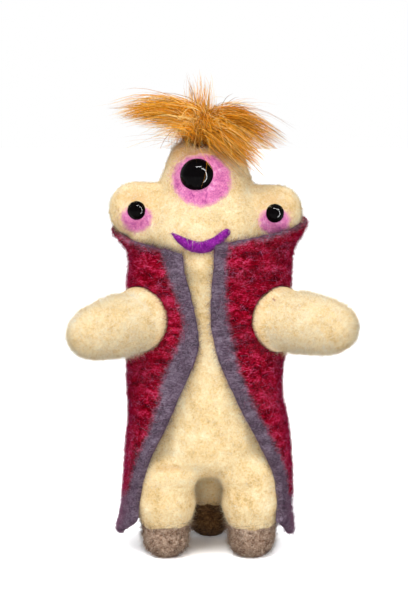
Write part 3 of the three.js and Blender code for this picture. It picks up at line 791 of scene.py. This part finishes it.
def felt_panel(name, place_at, columns, side=None):
    """A panel of the coat, cut as a grid and laid round the toy: place_at gives its points from shares of
    its width and height. Its border map says how far each lies beyond the grey, which the back only has
    at its hem, and a front, which has a side, along its edge and collar too."""
    bpy.ops.mesh.primitive_grid_add(x_subdivisions=columns, y_subdivisions=panel_rows, size=2)
    panel = bpy.context.object
    panel.name = panel.data.name = name
    flat, _ = points_of(panel)
    column = np.rint((flat[:, 0] * MM + 1) / 2 * columns).astype(int)
    row = np.rint((flat[:, 1] * MM + 1) / 2 * panel_rows).astype(int)
    s, t = np.meshgrid(np.linspace(0, 1, columns + 1), np.linspace(0, 1, panel_rows + 1))
    places = place_at(s, t)
    steps = np.linalg.norm(np.diff(places, axis=1), axis=2)
    from_front = np.zeros_like(s)
    from_front[:, :-1] = np.cumsum(steps[:, ::-1], axis=1)[:, ::-1]
    rises = np.linalg.norm(np.diff(places, axis=0), axis=2)
    from_hem = np.zeros_like(s)
    from_hem[1:] = np.cumsum(rises, axis=0)
    from_top = from_hem[-1] - from_hem
    if side:
        from_front -= smooth_through(border_rows[side])(places[..., 2])[..., 0]
        from_top -= collar_border * ease(0.1, 0.6, s)
    else:
        from_front[:] = far_off
    beyond = np.stack([from_front, np.minimum(from_hem - hem_border, from_top)], axis=-1)
    places = lie_on_head(places)
    move_points(panel, places[row, column])
    edge_map = panel.data.uv_layers[0]
    edge_map.name = "border"
    corners = read_all(panel.data.loops, "vertex_index", 1, int)[:, 0]
    edge_map.data.foreach_set("uv", (beyond[row, column][corners] * MM).ravel())
    places, normals = points_of(panel)
    if (normals[:, :2] * places[:, :2]).sum() < 0:
        bpy.ops.object.mode_set(mode="EDIT")
        bpy.ops.mesh.select_all(action="SELECT")
        bpy.ops.mesh.flip_normals()
        bpy.ops.object.mode_set(mode="OBJECT")
    places, normals = points_of(panel)
    step = red_step * (ease(-step_half, step_half, beyond[row, column].min(axis=1)) - 0.5)
    move_points(panel, places + normals * step[:, None])
    for felt in felts:
        panel.data.materials.append(felt)
    thick = felt_thickness * MM
    modify(panel, "SOLIDIFY", thickness=thick, offset=-1, use_even_offset=True, material_offset=1)
    modify(panel, "SUBSURF", levels=1, render_levels=1)
    lumps(panel, size=6, depth=0.4)
    bpy.ops.object.shade_smooth()
    return panel


def back_place(s, t):
    """The back, which hangs in four shallow folds towards its hem."""
    angle = math.pi * (0.5 + s)
    top = smooth_through(back_collar_rows)(s)[..., 0]
    hem = hem_height["left"] + (hem_height["right"] - hem_height["left"]) * s
    height = hem + (top - hem) * t
    left = wrap("left", angle, height)
    right = wrap("right", 2 * math.pi - angle, height)
    places = np.where((s < 0.5)[..., None], left, right)
    fold = back_fold * np.sin(4 * math.pi * s) ** 2 * (1 - ease(*fold_heights, height))
    places[..., :2] *= 1 + (fold / np.hypot(places[..., 0], places[..., 1]))[..., None]
    return places


def front_place(side, s, t):
    """A front, from its side seam to its front edge."""
    top = smooth_through(collar_rows[side])(s)[..., 0]
    bottom = hem_height[side] + front_lift[side] * s
    height = bottom + (top - bottom) * t
    angle = math.pi / 2 + (edge_angle(side, height) - math.pi / 2) * s
    return wrap(side, angle, height)


def follow_skirt(piece):
    """Bakes the transform of a piece of a front into its mesh."""
    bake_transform(piece)


def coat_felt(name, lining_only):
    """Two-sided wool felt: blotchy crimson, with dark hollows that run across and pale pink fibres, over a
    violet grey. The red is darker over the chest, carries a painted shade beside the border, and gives way
    to the grey in a soft, wavy line."""
    material, add = new_material(name)
    place = add("TexCoord", out="Object")
    across = {"Vector": add("Mapping", {"Vector": place, "Scale": (1, 1, 2.2)}), "Roughness": 0.7}
    grain = add("TexNoise", {**across, "Scale": 1 / (1.5 * MM), "Detail": 2})
    cloud = add("TexNoise", {**across, "Scale": 1 / (8 * MM), "Detail": 6, "Distortion": 0.1})
    tone = add("Mix", {0: 0.42, 2: cloud, 3: grain})
    hairs, *more = (thin_lines(add, place, 3, 5.3 * layer, 1.6, 0.02) for layer in range(3))
    for lines in more:
        hairs = add("Math", {0: hairs, 1: lines}, operation="MAXIMUM")
    patchy = add("TexNoise", {"Vector": place, "Scale": 1 / (12 * MM), "Detail": 2})
    where = add("MapRange", {0: patchy, 1: 0.42, 2: 0.66, 3: 0.05, 4: 0.3})
    share = add("Math", {0: hairs, 1: where}, operation="MULTIPLY")

    def shaded(shades, fibre):
        wool = add("ValToRGB", {0: tone}, stops=zip(np.linspace(0.42, 0.59, len(shades)), shades))
        return add("Mix", {0: share, 6: wool, 7: linear(fibre)}, out=2, data_type="RGBA")

    colour = shaded(("#40353e", "#574754", "#685766", "#877787"), "#b2a1b1")
    if not lining_only:
        red = shaded(("#240001", "#74000c", "#aa0322", "#dc3a64"), "#e07890")
        edge = add("UVMap", uv_map="border")
        from_front, from_ends = (add("SeparateXYZ", {0: edge}, out=axis) for axis in (0, 1))
        beyond = add("Math", {0: from_front, 1: from_ends}, operation="MINIMUM")
        wander = add("TexNoise", {"Vector": place, "Scale": 1 / (2.4 * MM), "Detail": 5})
        shift = add("MapRange", {0: wander, 3: -3 * MM, 4: 3 * MM})
        mask = add("MapRange", {0: add("Math", {0: beyond, 1: shift}), 1: -1.6 * MM, 2: 1.6 * MM})
        # Painted shade on the red beside the border, and a darker red over the chest
        border_shade = add("MapRange", {0: from_front, 1: 0, 2: 7 * MM, 3: 0.75, 4: 0})
        up = add("SeparateXYZ", {0: place}, out=2)
        chest = add("MapRange", {0: up, 1: 70 * MM, 2: 125 * MM, 3: 0, 4: 0.5})
        either = add("Math", {0: border_shade, 1: chest}, operation="MAXIMUM")
        border_shade_and_chest = add("Math", {0: either, 1: patchy}, operation="MULTIPLY")
        red = add("Mix", {0: border_shade_and_chest, 6: red, 7: linear("#360006")}, out=2, data_type="RGBA")
        colour = add("Mix", {0: mask, 6: colour, 7: red}, out=2, data_type="RGBA")
    relief = {"Height": add("Math", {0: tone, 1: share}), "Strength": 0.7, "Distance": 0.9 * MM}
    add("OutputMaterial", {"Surface": add("BsdfPrincipled", {
        "Base Color": colour,
        "Normal": add("Bump", relief),
        "Roughness": 1,
        "Specular IOR Level": 0,
    })})
    return material


felts = (
    coat_felt("red_and_grey_wool_felt", lining_only=False),
    coat_felt("grey_wool_felt", lining_only=True),
)
coat_back = felt_panel("coat_back_felt", back_place, back_columns)
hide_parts("coat_back", "lining_back")
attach(coat_back, "toy")
coat_fronts = {}
for name in sides:
    front = felt_panel(f"coat_{name}_front_felt", partial(front_place, name), front_columns, name)
    low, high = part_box(f"{name}_shoulder_knot")
    bpy.ops.mesh.primitive_uv_sphere_add(
        segments=64, ring_count=32, radius=armhole_radius * MM, location=(low + high) / 2,
    )
    punch = bpy.context.object
    modify(front, "BOOLEAN", object=punch, operation="DIFFERENCE", solver="EXACT")
    bpy.data.objects.remove(punch)
    while len(front.data.materials) > len(felts):
        front.data.materials.pop()
    skirt = f"{name}_skirt"
    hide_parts(f"coat_{name}_front", f"coat_{skirt}", f"lining_{name}_front", f"lining_{skirt}")
    follow_skirt(front)
    coat_fronts[name] = front

# Fur: a round of tanned hide with its long ginger hair, sewn on the crown. The hair parts into five locks,
# with a thin fringe over the middle eye and stray hairs all round.
hair_steps = 9
thinnest_hair, thickest_hair, thickest_fringe = 0.05, 0.24, 0.1  # radii
fur_clearance = 0.6  # over the head
tuft_sway, tuft_spread = 2.2, (2, 2, 0.5)
tuft_reach, hair_reach = (0.68, 1.1), (0.7, 1)  # shares of a run's length, and of the tuft's
tuft_tint, hair_tint = 0.24, 0.34  # how much tints vary from tuft to tuft and hair to hair
errant_share, errant_width = 0.18, 4  # of a tuft's hairs that stray from it, and how much wider they lie
# For each lock: runs of places in mm, root first, between which its tufts lie; tufts; hairs; redness
fur_locks = {
    "right": ((
        ((-6, 1, 193), (-8, -2, 207), (-25, -4, 212), (-43, -6, 208.5)),
        ((-6, -4, 193), (-9, -8, 205), (-24, -9, 207.5), (-39, -8, 205.5)),
        ((-8, -7, 192), (-11, -13, 201), (-20, -13, 202), (-31, -10, 198)),
    ), 54, 1900, 0.4),
    "left": ((
        ((0, 1, 193), (3, -2, 206), (14, -4, 207.5), (31, -5, 198)),
        ((1, -4, 193), (4, -10, 204), (18, -11, 202.5), (34, -10, 193)),
        ((0, -7, 192), (3, -14, 201), (15, -18, 195), (35, -16, 178)),
        ((-2, -8, 192), (1, -16, 198), (8, -20, 191), (18, -20, 182)),
    ), 66, 2400, 0.66),
    "crown": ((
        ((-6, 2, 193), (-7, 3, 207), (-9, 3, 215), (-12, 2, 222)),
        ((-4, 3, 193), (-4, 4, 207), (-4, 4, 216), (-4, 3, 225)),
        ((-2, 3, 193), (-1, 4, 206), (0, 4, 215), (1, 3, 224)),
    ), 16, 190, 0.55),
    "back": ((
        ((-6, 2, 193), (-10, 10, 204), (-15, 17, 199), (-16, 22, 188)),
        ((-2, 4, 193), (-3, 13, 206), (-3, 21, 200), (-4, 26, 184)),
        ((2, 2, 193), (7, 10, 204), (12, 17, 199), (15, 22, 188)),
    ), 44, 1200, 0.45),
    "front": ((
        ((-7, -5, 192), (-9, -11, 203), (-14, -16, 202), (-17, -20, 195)),
        ((-4, -6, 192), (-5, -13, 204), (-6, -19, 201), (-7, -24, 192)),
        ((0, -6, 192), (2, -13, 203), (5, -19, 199), (8, -23, 188)),
    ), 30, 520, 0.42),
}
# The few pale hairs that fall over the middle eye, in the same way
fringe = ((
    ((-7, -7, 192), (-12, -16, 198), (-14, -24, 192), (-12, -31, 185)),
    ((-4, -8, 192), (-5, -18, 198), (-5, -27, 193), (-6, -34, 188)),
    ((0, -8, 192), (4, -18, 198), (8, -27, 190), (8, -34, 180)),
), 24, 34, 0.12)
# Single hairs that stand out of the fur: how many, and how far from its middle their tips lie in mm
stray_hairs = 200
stray_reach = (42, 26, 30)
stray_middle = (-3, -2, 193)
# Root to tip; the near-black root is partly painted shade deep in the fur
shades_along_hair = ((0, "#1e0a00"), (0.26, "#944a02"), (0.5, "#f29608"), (0.85, "#fcb832"), (1, "#fad084"))
tints_of_hairs = ((0, "#ffe498"), (0.3, "#fdbc34"), (0.62, "#f08a08"), (1, "#642800"))


def suede_hide():
    """Tanned hide with its flesh side out: a tan nap with darker flecks, dull all over."""
    material, add = new_material("tan_suede_hide")
    place = add("TexCoord", out="Object")
    nap = add("TexNoise", {"Vector": place, "Scale": 1 / (0.8 * MM), "Detail": 4})
    tint = {0: nap, 6: linear("#8e6a45"), 7: linear("#d3ae85")}
    add("OutputMaterial", {"Surface": add("BsdfPrincipled", {
        "Base Color": add("Mix", tint, out=2, data_type="RGBA"),
        "Normal": add("Bump", {"Height": nap, "Strength": 0.4, "Distance": 0.2 * MM}),
        "Roughness": 0.9,
    })})
    return material


def strand_mesh(name, paths, radii, values, facing=None):
    """A mesh of pointed three-sided hairs along paths: hairs by steps by X, Y and Z in mm. It keeps how far
    along its hair each point is, and each hair's own value. Hairs with a facing are shaded as if they
    faced that way."""
    hairs, steps, _ = paths.shape
    runs = np.gradient(paths, axis=1)
    runs /= np.linalg.norm(runs, axis=2, keepdims=True) + 1e-9
    guide = np.where(np.abs(runs[..., 2:]) < 0.9, [0, 0, 1.0], [1.0, 0, 0])
    across = np.cross(runs, guide)
    across /= np.linalg.norm(across, axis=2, keepdims=True)
    other = np.cross(runs, across)
    along = np.linspace(0, 1, steps)
    taper = (1 - 0.85 * along ** 2)[None, :, None] * radii[:, None, None]
    rings = []
    for k in range(3):
        turn = 2 * math.pi * k / 3
        rings.append(paths + taper * (math.cos(turn) * across + math.sin(turn) * other))
    rings = np.stack(rings, axis=2)[:, :-1].reshape(hairs, -1, 3)
    points = np.concatenate([rings, paths[:, -1:]], axis=1)
    each = points.shape[1]
    root = (np.arange(hairs) * each)[:, None, None]
    ring = root + (np.arange(steps - 2) * 3)[None, :, None]
    last = root + 3 * (steps - 2)
    corner = np.arange(3)[None, None, :]
    after = (corner + 1) % 3
    sides_of = np.stack([ring + corner, ring + after, ring + after + 3, ring + corner + 3], axis=-1)
    tips = np.stack([last + corner, last + after, root + each - 1 + 0 * corner], axis=-1)
    ends = np.concatenate([root + 2, root + 1, root], axis=-1)
    faces = sides_of.reshape(-1, 4).tolist() + tips.reshape(-1, 3).tolist() + ends.reshape(-1, 3).tolist()
    mesh = bpy.data.meshes.new(name)
    mesh.from_pydata((points.reshape(-1, 3) * MM).tolist(), [], faces)
    piece = bpy.data.objects.new(name, mesh)
    bpy.context.collection.objects.link(piece)
    keep_values(piece, "along", np.tile(np.append(np.repeat(along[:-1], 3), 1), hairs))
    keep_values(piece, "strand", np.repeat(values, each))
    select(piece)
    bpy.ops.object.shade_smooth()
    if facing is not None:
        mesh.normals_split_custom_set_from_vertices(np.repeat(facing, each, axis=0).tolist())
    return piece


def over_head(paths, clearance):
    """Lifts the points of hairs that would lie in the head to just over it."""
    flat = paths.reshape(-1, 3)
    for i in np.flatnonzero(flat[:, 2] > 150):
        spot = Vector(flat[i]) * MM
        near, normal, *_ = head_tree.find_nearest(spot)
        if (spot - near).dot(normal) < clearance * MM:
            flat[i] = (near + normal * clearance * MM) / MM
    return flat.reshape(paths.shape)


def fur_paths(runs, tufts, hairs, rng):
    """Hairs in tufts that lie between a lock's runs. A tuft is thickest midway and ends in a point, and
    some hairs stray from it."""
    t = np.linspace(0, 1, hair_steps)
    stations = np.linspace(0, 1, len(runs[0]))
    lines = np.stack([smooth_through([(at, *place) for at, place in zip(stations, run)])(t) for run in runs])
    pick = rng.uniform(0, len(runs) - 1, tufts)
    under = np.minimum(pick.astype(int), len(runs) - 2)
    share = (pick - under)[:, None, None]
    guides = lines[under] * (1 - share) + lines[under + 1] * share
    sway = rng.normal(size=(tufts, 1, 3)) * tuft_sway * t[None, :, None] ** 1.3
    guides = guides + sway + rng.normal(size=(tufts, 1, 3)) * tuft_spread
    tuft = rng.integers(0, tufts, hairs)
    reach = rng.uniform(*tuft_reach, tufts)[tuft] * rng.uniform(*hair_reach, hairs)
    at = t[None, :] * reach[:, None]
    step = np.clip(at * (hair_steps - 1), 0, hair_steps - 1.001)
    before = step.astype(int)
    part = (step - before)[..., None]
    own = guides[tuft]
    rows = np.arange(hairs)[:, None]
    paths = own[rows, before] * (1 - part) + own[rows, before + 1] * part
    stray = np.where(rng.random(hairs) < errant_share, errant_width, 1)[:, None]
    width = 0.7 + 1.1 * np.sin(math.pi * np.clip(at, 0, 1)) + (stray - 1) * at
    paths = paths + rng.normal(size=(hairs, 1, 3)) * width[..., None]
    wave = rng.normal(size=(hairs, 1, 3)) * np.sin(at * 8 + rng.uniform(0, 6.28, (hairs, 1)))[..., None]
    return paths + 0.7 * wave * at[..., None], tuft


def ginger_hair():
    """Fox-like fur: smooth glossy hairs, brown at the root and darker there with painted shade, ginger
    along their length, pale at the tip.
    """
    material, add = new_material("ginger_fur_hair")
    along = add("Attribute", out="Fac", attribute_name="along")
    own = add("Attribute", out="Fac", attribute_name="strand")
    mixed = {
        0: add("MapRange", {0: along, 1: 0.05, 2: 0.4, 3: 0.1, 4: 0.75}),
        6: add("ValToRGB", {0: along}, stops=shades_along_hair),
        7: add("ValToRGB", {0: own}, stops=tints_of_hairs),
    }
    add("OutputMaterial", {"Surface": add("BsdfPrincipled", {
        "Base Color": add("Mix", mixed, out=2, data_type="RGBA"),
        "Roughness": 0.42,
        "Specular IOR Level": 0.05,
        "Specular Tint": linear("#ffcf80"),
    })})
    return material


finish_node("hide_patch", suede_hide())
fur_hair = ginger_hair()
for number, (lock, (runs, tufts, hairs, redness)) in enumerate({**fur_locks, "fringe": fringe}.items()):
    rng = np.random.default_rng(40 + number)
    paths, tuft = fur_paths(runs, tufts, hairs, rng)
    paths = over_head(paths, fur_clearance)
    values = redness + rng.normal(0, tuft_tint, tufts)[tuft] + rng.normal(0, hair_tint, hairs)
    thickest = thickest_hair if lock in fur_locks else thickest_fringe
    radii = thinnest_hair + (thickest - thinnest_hair) * rng.random(hairs) ** 2
    fur = strand_mesh(f"{lock}_fur_hair", paths, radii, np.clip(values, 0, 1))
    fur.data.materials.append(fur_hair)
    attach(fur, "toy")
    if lock in fur_locks:
        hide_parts(f"{lock}_fur_lock")
rng = np.random.default_rng(50)
t = np.linspace(0, 1, hair_steps)[None, :, None]
way = rng.normal(size=(stray_hairs, 1, 3)) * (1, 1, 0.5) + (0, 0, 0.55)
way /= np.linalg.norm(way, axis=2, keepdims=True)
reach = rng.uniform(0.45, 1, (stray_hairs, 1, 1))
root = stray_middle + rng.normal(size=(stray_hairs, 1, 3)) * (4, 3, 0.3)
droop = rng.uniform(0, 9, (stray_hairs, 1, 1)) * t ** 2
paths = root + way * reach * stray_reach * t + (0, 0, 10) * t * (1 - t) - (0, 0, 1) * droop
paths = over_head(paths + rng.normal(size=(stray_hairs, 1, 3)) * 3 * t * t, fur_clearance)
strays = strand_mesh("stray_fur_hair", paths, rng.uniform(0.04, 0.08, stray_hairs), rng.random(stray_hairs))
strays.data.materials.append(fur_hair)
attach(strays, "toy")

# Loose fibres: the felt's nap, fine curly ends of wool that lie on it wherever it shows, and a haze of
# straighter ones that stand off it. They are a little coarser than real ones, so that they show.
floor_clearance = 0.2
fibre_radii = (0.035, 0.07)
root_depth = 0.15
other_wool = 0.6  # how far cream fibres reach into a layer of other wool
coat_clear, opening_clear = 52, 6  # height below which the body is bare, and how far it is beside the opening


def scatter(piece, count, rng):
    """Random places all over a piece's faces in mm, with the faces' normals, and the faces' numbers."""
    mesh = piece.data
    mesh.calc_loop_triangles()
    places, _ = points_of(piece)
    corners = places[read_all(mesh.loop_triangles, "vertices", 3, int)]
    facing = np.cross(corners[:, 1] - corners[:, 0], corners[:, 2] - corners[:, 0])
    area = np.linalg.norm(facing, axis=1)
    picked = rng.choice(len(corners), count, p=area / area.sum())
    a, b = rng.random((2, count))
    a, b = np.where(a + b > 1, 1 - a, a), np.where(a + b > 1, 1 - b, b)
    spots = corners[picked, 0] * (1 - a - b)[:, None]
    spots += corners[picked, 1] * a[:, None] + corners[picked, 2] * b[:, None]
    return spots, facing[picked] / (area[picked, None] + 1e-12), picked


def curly_fibres(spots, normals, rng, lengths, steps, lift):
    """Fibres that leave the felt and curl, in a number of steps. Most are near the shortest of the lengths,
    and a few reach the longest. The lift says how steeply they rise."""
    shortest, longest = lengths
    count = len(spots)
    side = np.cross(normals, rng.normal(size=(count, 3)))
    side /= np.linalg.norm(side, axis=1, keepdims=True) + 1e-9
    turn = np.cross(normals, side)
    t = np.linspace(0, 1, steps)[None, :, None]
    reach = (shortest + (longest - shortest) * rng.random(count) ** 3)[:, None, None]
    rise = np.abs(rng.normal(0, lift, count))[:, None, None]
    curl = rng.normal(0, 0.5, count)[:, None, None]
    fall = rng.uniform(0, 0.6, count)[:, None, None]
    path = t * side[:, None, :] + curl * t ** 2 * turn[:, None, :]
    path = path + rise * (t - fall * t ** 2) * normals[:, None, :]
    paths = spots[:, None, :] - root_depth * normals[:, None, :] + reach * path / np.sqrt(1 + rise ** 2)
    paths[..., 2] = np.maximum(paths[..., 2], floor_clearance)
    return paths


def locks(spots, rng, size=(4, 4, 4)):
    """A shade from 0 to 1 for each fibre. Fibres that lie within a lock's size have much the same."""
    ways = rng.normal(size=(3, 24)) * 2 * math.pi / np.reshape(size, (3, 1))
    shade = np.sin(spots @ ways + rng.uniform(0, 2 * math.pi, 24)).sum(axis=1) / math.sqrt(12)
    return np.clip(0.5 + 0.24 * shade + 0.16 * rng.normal(size=len(spots)), 0, 1)


def loose_wool(name, shades, edge, glow=0.3):
    """Single wool fibres, matt, each with a shade of its own and a painted shade towards its root.
    Seen edge on, they glow in the colour of the edge."""
    material, add = new_material(name)
    own = add("Attribute", out="Fac", attribute_name="strand")
    along = add("Attribute", out="Fac", attribute_name="along")
    shade = add("ValToRGB", {0: own}, stops=zip(np.linspace(0, 1, len(shades)), shades))
    # Painted shade towards each fibre's root, down in the felt
    root = add("MapRange", {0: along, 3: 0.8, 4: 1})
    add("OutputMaterial", {"Surface": add("BsdfPrincipled", {
        "Base Color": add("VectorMath", {0: shade, 1: root}, operation="MULTIPLY"),
        "Roughness": 1,
        "Specular IOR Level": 0,
        "Sheen Weight": glow,
        "Sheen Roughness": 0.5,
        "Sheen Tint": linear(edge),
    })})
    return material


def add_fibres(name, spots, normals, values, fibres, rng, longest):
    """A mesh of the nap that lies on a felt, a quarter of the fibres, and one of the haze of finer fibres
    that stands off it. Light goes through and round such fine wool, so it casts no shadow, and is as light
    as the felt below it."""
    pieces = []
    quarter = len(spots) // 4
    for kind, part, steps, lift, shortest, fine in (
        ("nap", slice(quarter), 3, 0.5, 0.3 * longest, 1),
        ("haze", slice(quarter, None), 2, 2, 0.6 * longest, 0.85),
    ):
        paths = curly_fibres(spots[part], normals[part], rng, (shortest, longest), steps, lift)
        radii = fine * rng.uniform(*fibre_radii, len(paths))
        piece = strand_mesh(f"{name}_{kind}", paths, radii, values[part], facing=normals[part])
        piece.data.materials.append(fibres)
        piece.visible_shadow = False
        pieces.append(piece)
    return pieces


def bare_body(spots, normals):
    """True below and in front of the coat, away from the feet's brown wool."""
    x, y, z = spots.T
    openings = {side: smooth_through(front_rows[side])(z)[:, 0] for side in sides}
    opening = np.where(x > 0, openings["left"], openings["right"])
    capped = np.max([in_cap(leg, spots, normals) for leg in legs], axis=0)
    in_opening = (y < 0) & (np.abs(x) < opening + opening_clear)
    return ((z < coat_clear) | in_opening) & (capped < other_wool)


def bare_head(spots, normals):
    """True away from the pink and purple wool."""
    covers = [in_patch(eye, spots, normals) for eye in eyes] + [in_smile(spots, normals)]
    return np.max(covers, axis=0) < other_wool


def bare_arm(name, spots, normals):
    """True outside the coat's armhole, and over and under the arm well away from it."""
    root, along = arm_lines[name]
    clear = 1 + 8 * (1 - np.clip(-normals[:, 1], 0, 1))
    apart = spots - root
    return (apart @ along > clear) & (np.linalg.norm(apart, axis=1) > root_radius - 1.5)


def face_out(spots, normals):
    return normals[:, 1] < 0.2


def bare_patch(eye, spots, normals):
    """True on the face of a patch, clear of its bead."""
    bead = bead_places[eye]
    apart = np.hypot(spots[:, 0] - bead.x, spots[:, 2] - bead.z)
    return (apart > bead_radii[eye] + 1.5) & face_out(spots, normals)


cream_fibres = loose_wool("loose_cream_wool", ("#d2a45e", "#f3d9a2", "#fff2d0", "#fffdf4"), "#fff0cc")
pink_fibres = loose_wool("loose_pink_wool", pink_shades, pink_shades[-1], glow=0.1)
purple_fibres = loose_wool("loose_purple_wool", purple_shades, purple_shades[-1], glow=0.1)
# For each piece: its fibres, how many are tried and their longest in mm, slot, body, and where they show
fuzzy = [
    (body, cream_fibres, 56000, 4, "cream_wool", "toy", bare_body),
    (head, cream_fibres, 34000, 5, "cream_wool", "toy", bare_head),
]
for name in sides:
    fuzzy.append((arms[name], cream_fibres, 30000, 7, "cream_wool", f"{name}_arm", partial(bare_arm, name)))
for leg, shades in brown_shades.items():
    brown_fibres = loose_wool(f"loose_{leg}_brown_wool", shades, shades[-1], glow=0.1)
    fuzzy.append((caps[leg], brown_fibres, 8000, 7, "brown_wool", "toy", None))
for eye, tries in {"middle": 7000, "left": 2800, "right": 2800}.items():
    fuzzy.append((patches[eye], pink_fibres, tries, 3, "pink_wool", "toy", partial(bare_patch, eye)))
fuzzy.append((mouth, purple_fibres, 6000, 3, "purple_wool", "toy", face_out))
for seed, (base, fibres, tries, longest, slot, body_name, shown) in enumerate(fuzzy, 60):
    rng = np.random.default_rng(seed)
    spots, normals, _ = scatter(base, tries, rng)
    if shown:
        bare = shown(spots, normals)
        spots, normals = spots[bare], normals[bare]
    for fuzz in add_fibres(base.name, spots, normals, locks(spots, rng), fibres, rng, longest):
        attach(fuzz, body_name)
coat_shades = ("#3c0005", "#8e001a", "#b81c48", "#e07ca8", "#544758", "#6f6172", "#a89cad")
coat_fibres = loose_wool("loose_red_and_grey_wool", coat_shades, "#ff3c98", glow=0.16)
coat_tries = 38000
inner_share = 0.25  # of those on the coat's inner face that are kept
ring_tries = 50000  # of which those on the armhole's rim are kept, and lie on the arm's root
for seed, (side, base) in enumerate({"back": coat_back, **coat_fronts}.items(), 80):
    rng = np.random.default_rng(seed)
    spots, normals, picked = scatter(base, coat_tries, rng)
    corner_of = read_all(base.data.loop_triangles, "loops", 3, int)[picked, 0]
    beyond = read_all(base.data.uv_layers["border"].data, "uv", 2)[corner_of].min(axis=1)
    outer = (normals[:, :2] * spots[:, :2]).sum(axis=1) > 0
    red = outer & (beyond > rng.normal(0, 1 * MM, coat_tries))
    own = locks(spots, rng, size=(6, 6, 2.6))
    values = np.where(red, 0.5 * own ** 1.4, 0.66 + 0.34 * own)
    kept = outer | (rng.random(coat_tries) < inner_share)
    spots, normals, values = spots[kept], normals[kept], values[kept]
    if side == "back":
        for fuzz in add_fibres(base.name, spots, normals, values, coat_fibres, rng, longest=7):
            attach(fuzz, "toy")
        continue
    ring, ring_normals, _ = scatter(base, ring_tries, rng)
    near = np.abs(np.linalg.norm(ring - arm_lines[side][0], axis=1) - armhole_radius) < 0.4
    spots = np.concatenate([ring[near], spots])
    normals = np.concatenate([ring_normals[near], normals])
    values = np.concatenate([0.4 * rng.random(near.sum()), values])
    for fuzz in add_fibres(base.name, spots, normals, values, coat_fibres, rng, longest=5.5):
        follow_skirt(fuzz)

# Speck: a wisp of the coat's red wool, only a few fibres. It is caught in the felt of the left arm, and
# nothing else holds it.
speck_place = (28.4, 123.6)  # across and up
speck_fibres = 14
speck_shade = 0.27  # of the coat's fibres
rng = np.random.default_rng(90)
places, normals = points_of(arms["left"])
apart = np.hypot(places[:, 0] - speck_place[0], places[:, 2] - speck_place[1])
at = np.argmin(np.where(normals[:, 1] < 0, apart, 99))
spots = places[at] + rng.normal(0, 0.35, (speck_fibres, 3)) * (0.6, 0, 1) + 0.2 * normals[at]
paths = curly_fibres(spots, np.tile(normals[at], (speck_fibres, 1)), rng, (1.6, 2), 3, 0.2)
radii = rng.uniform(0.06, 0.1, speck_fibres)
speck = strand_mesh("red_speck", paths, radii, np.full(speck_fibres, speck_shade))
speck.data.materials.append(coat_fibres)
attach(speck, "left_arm")
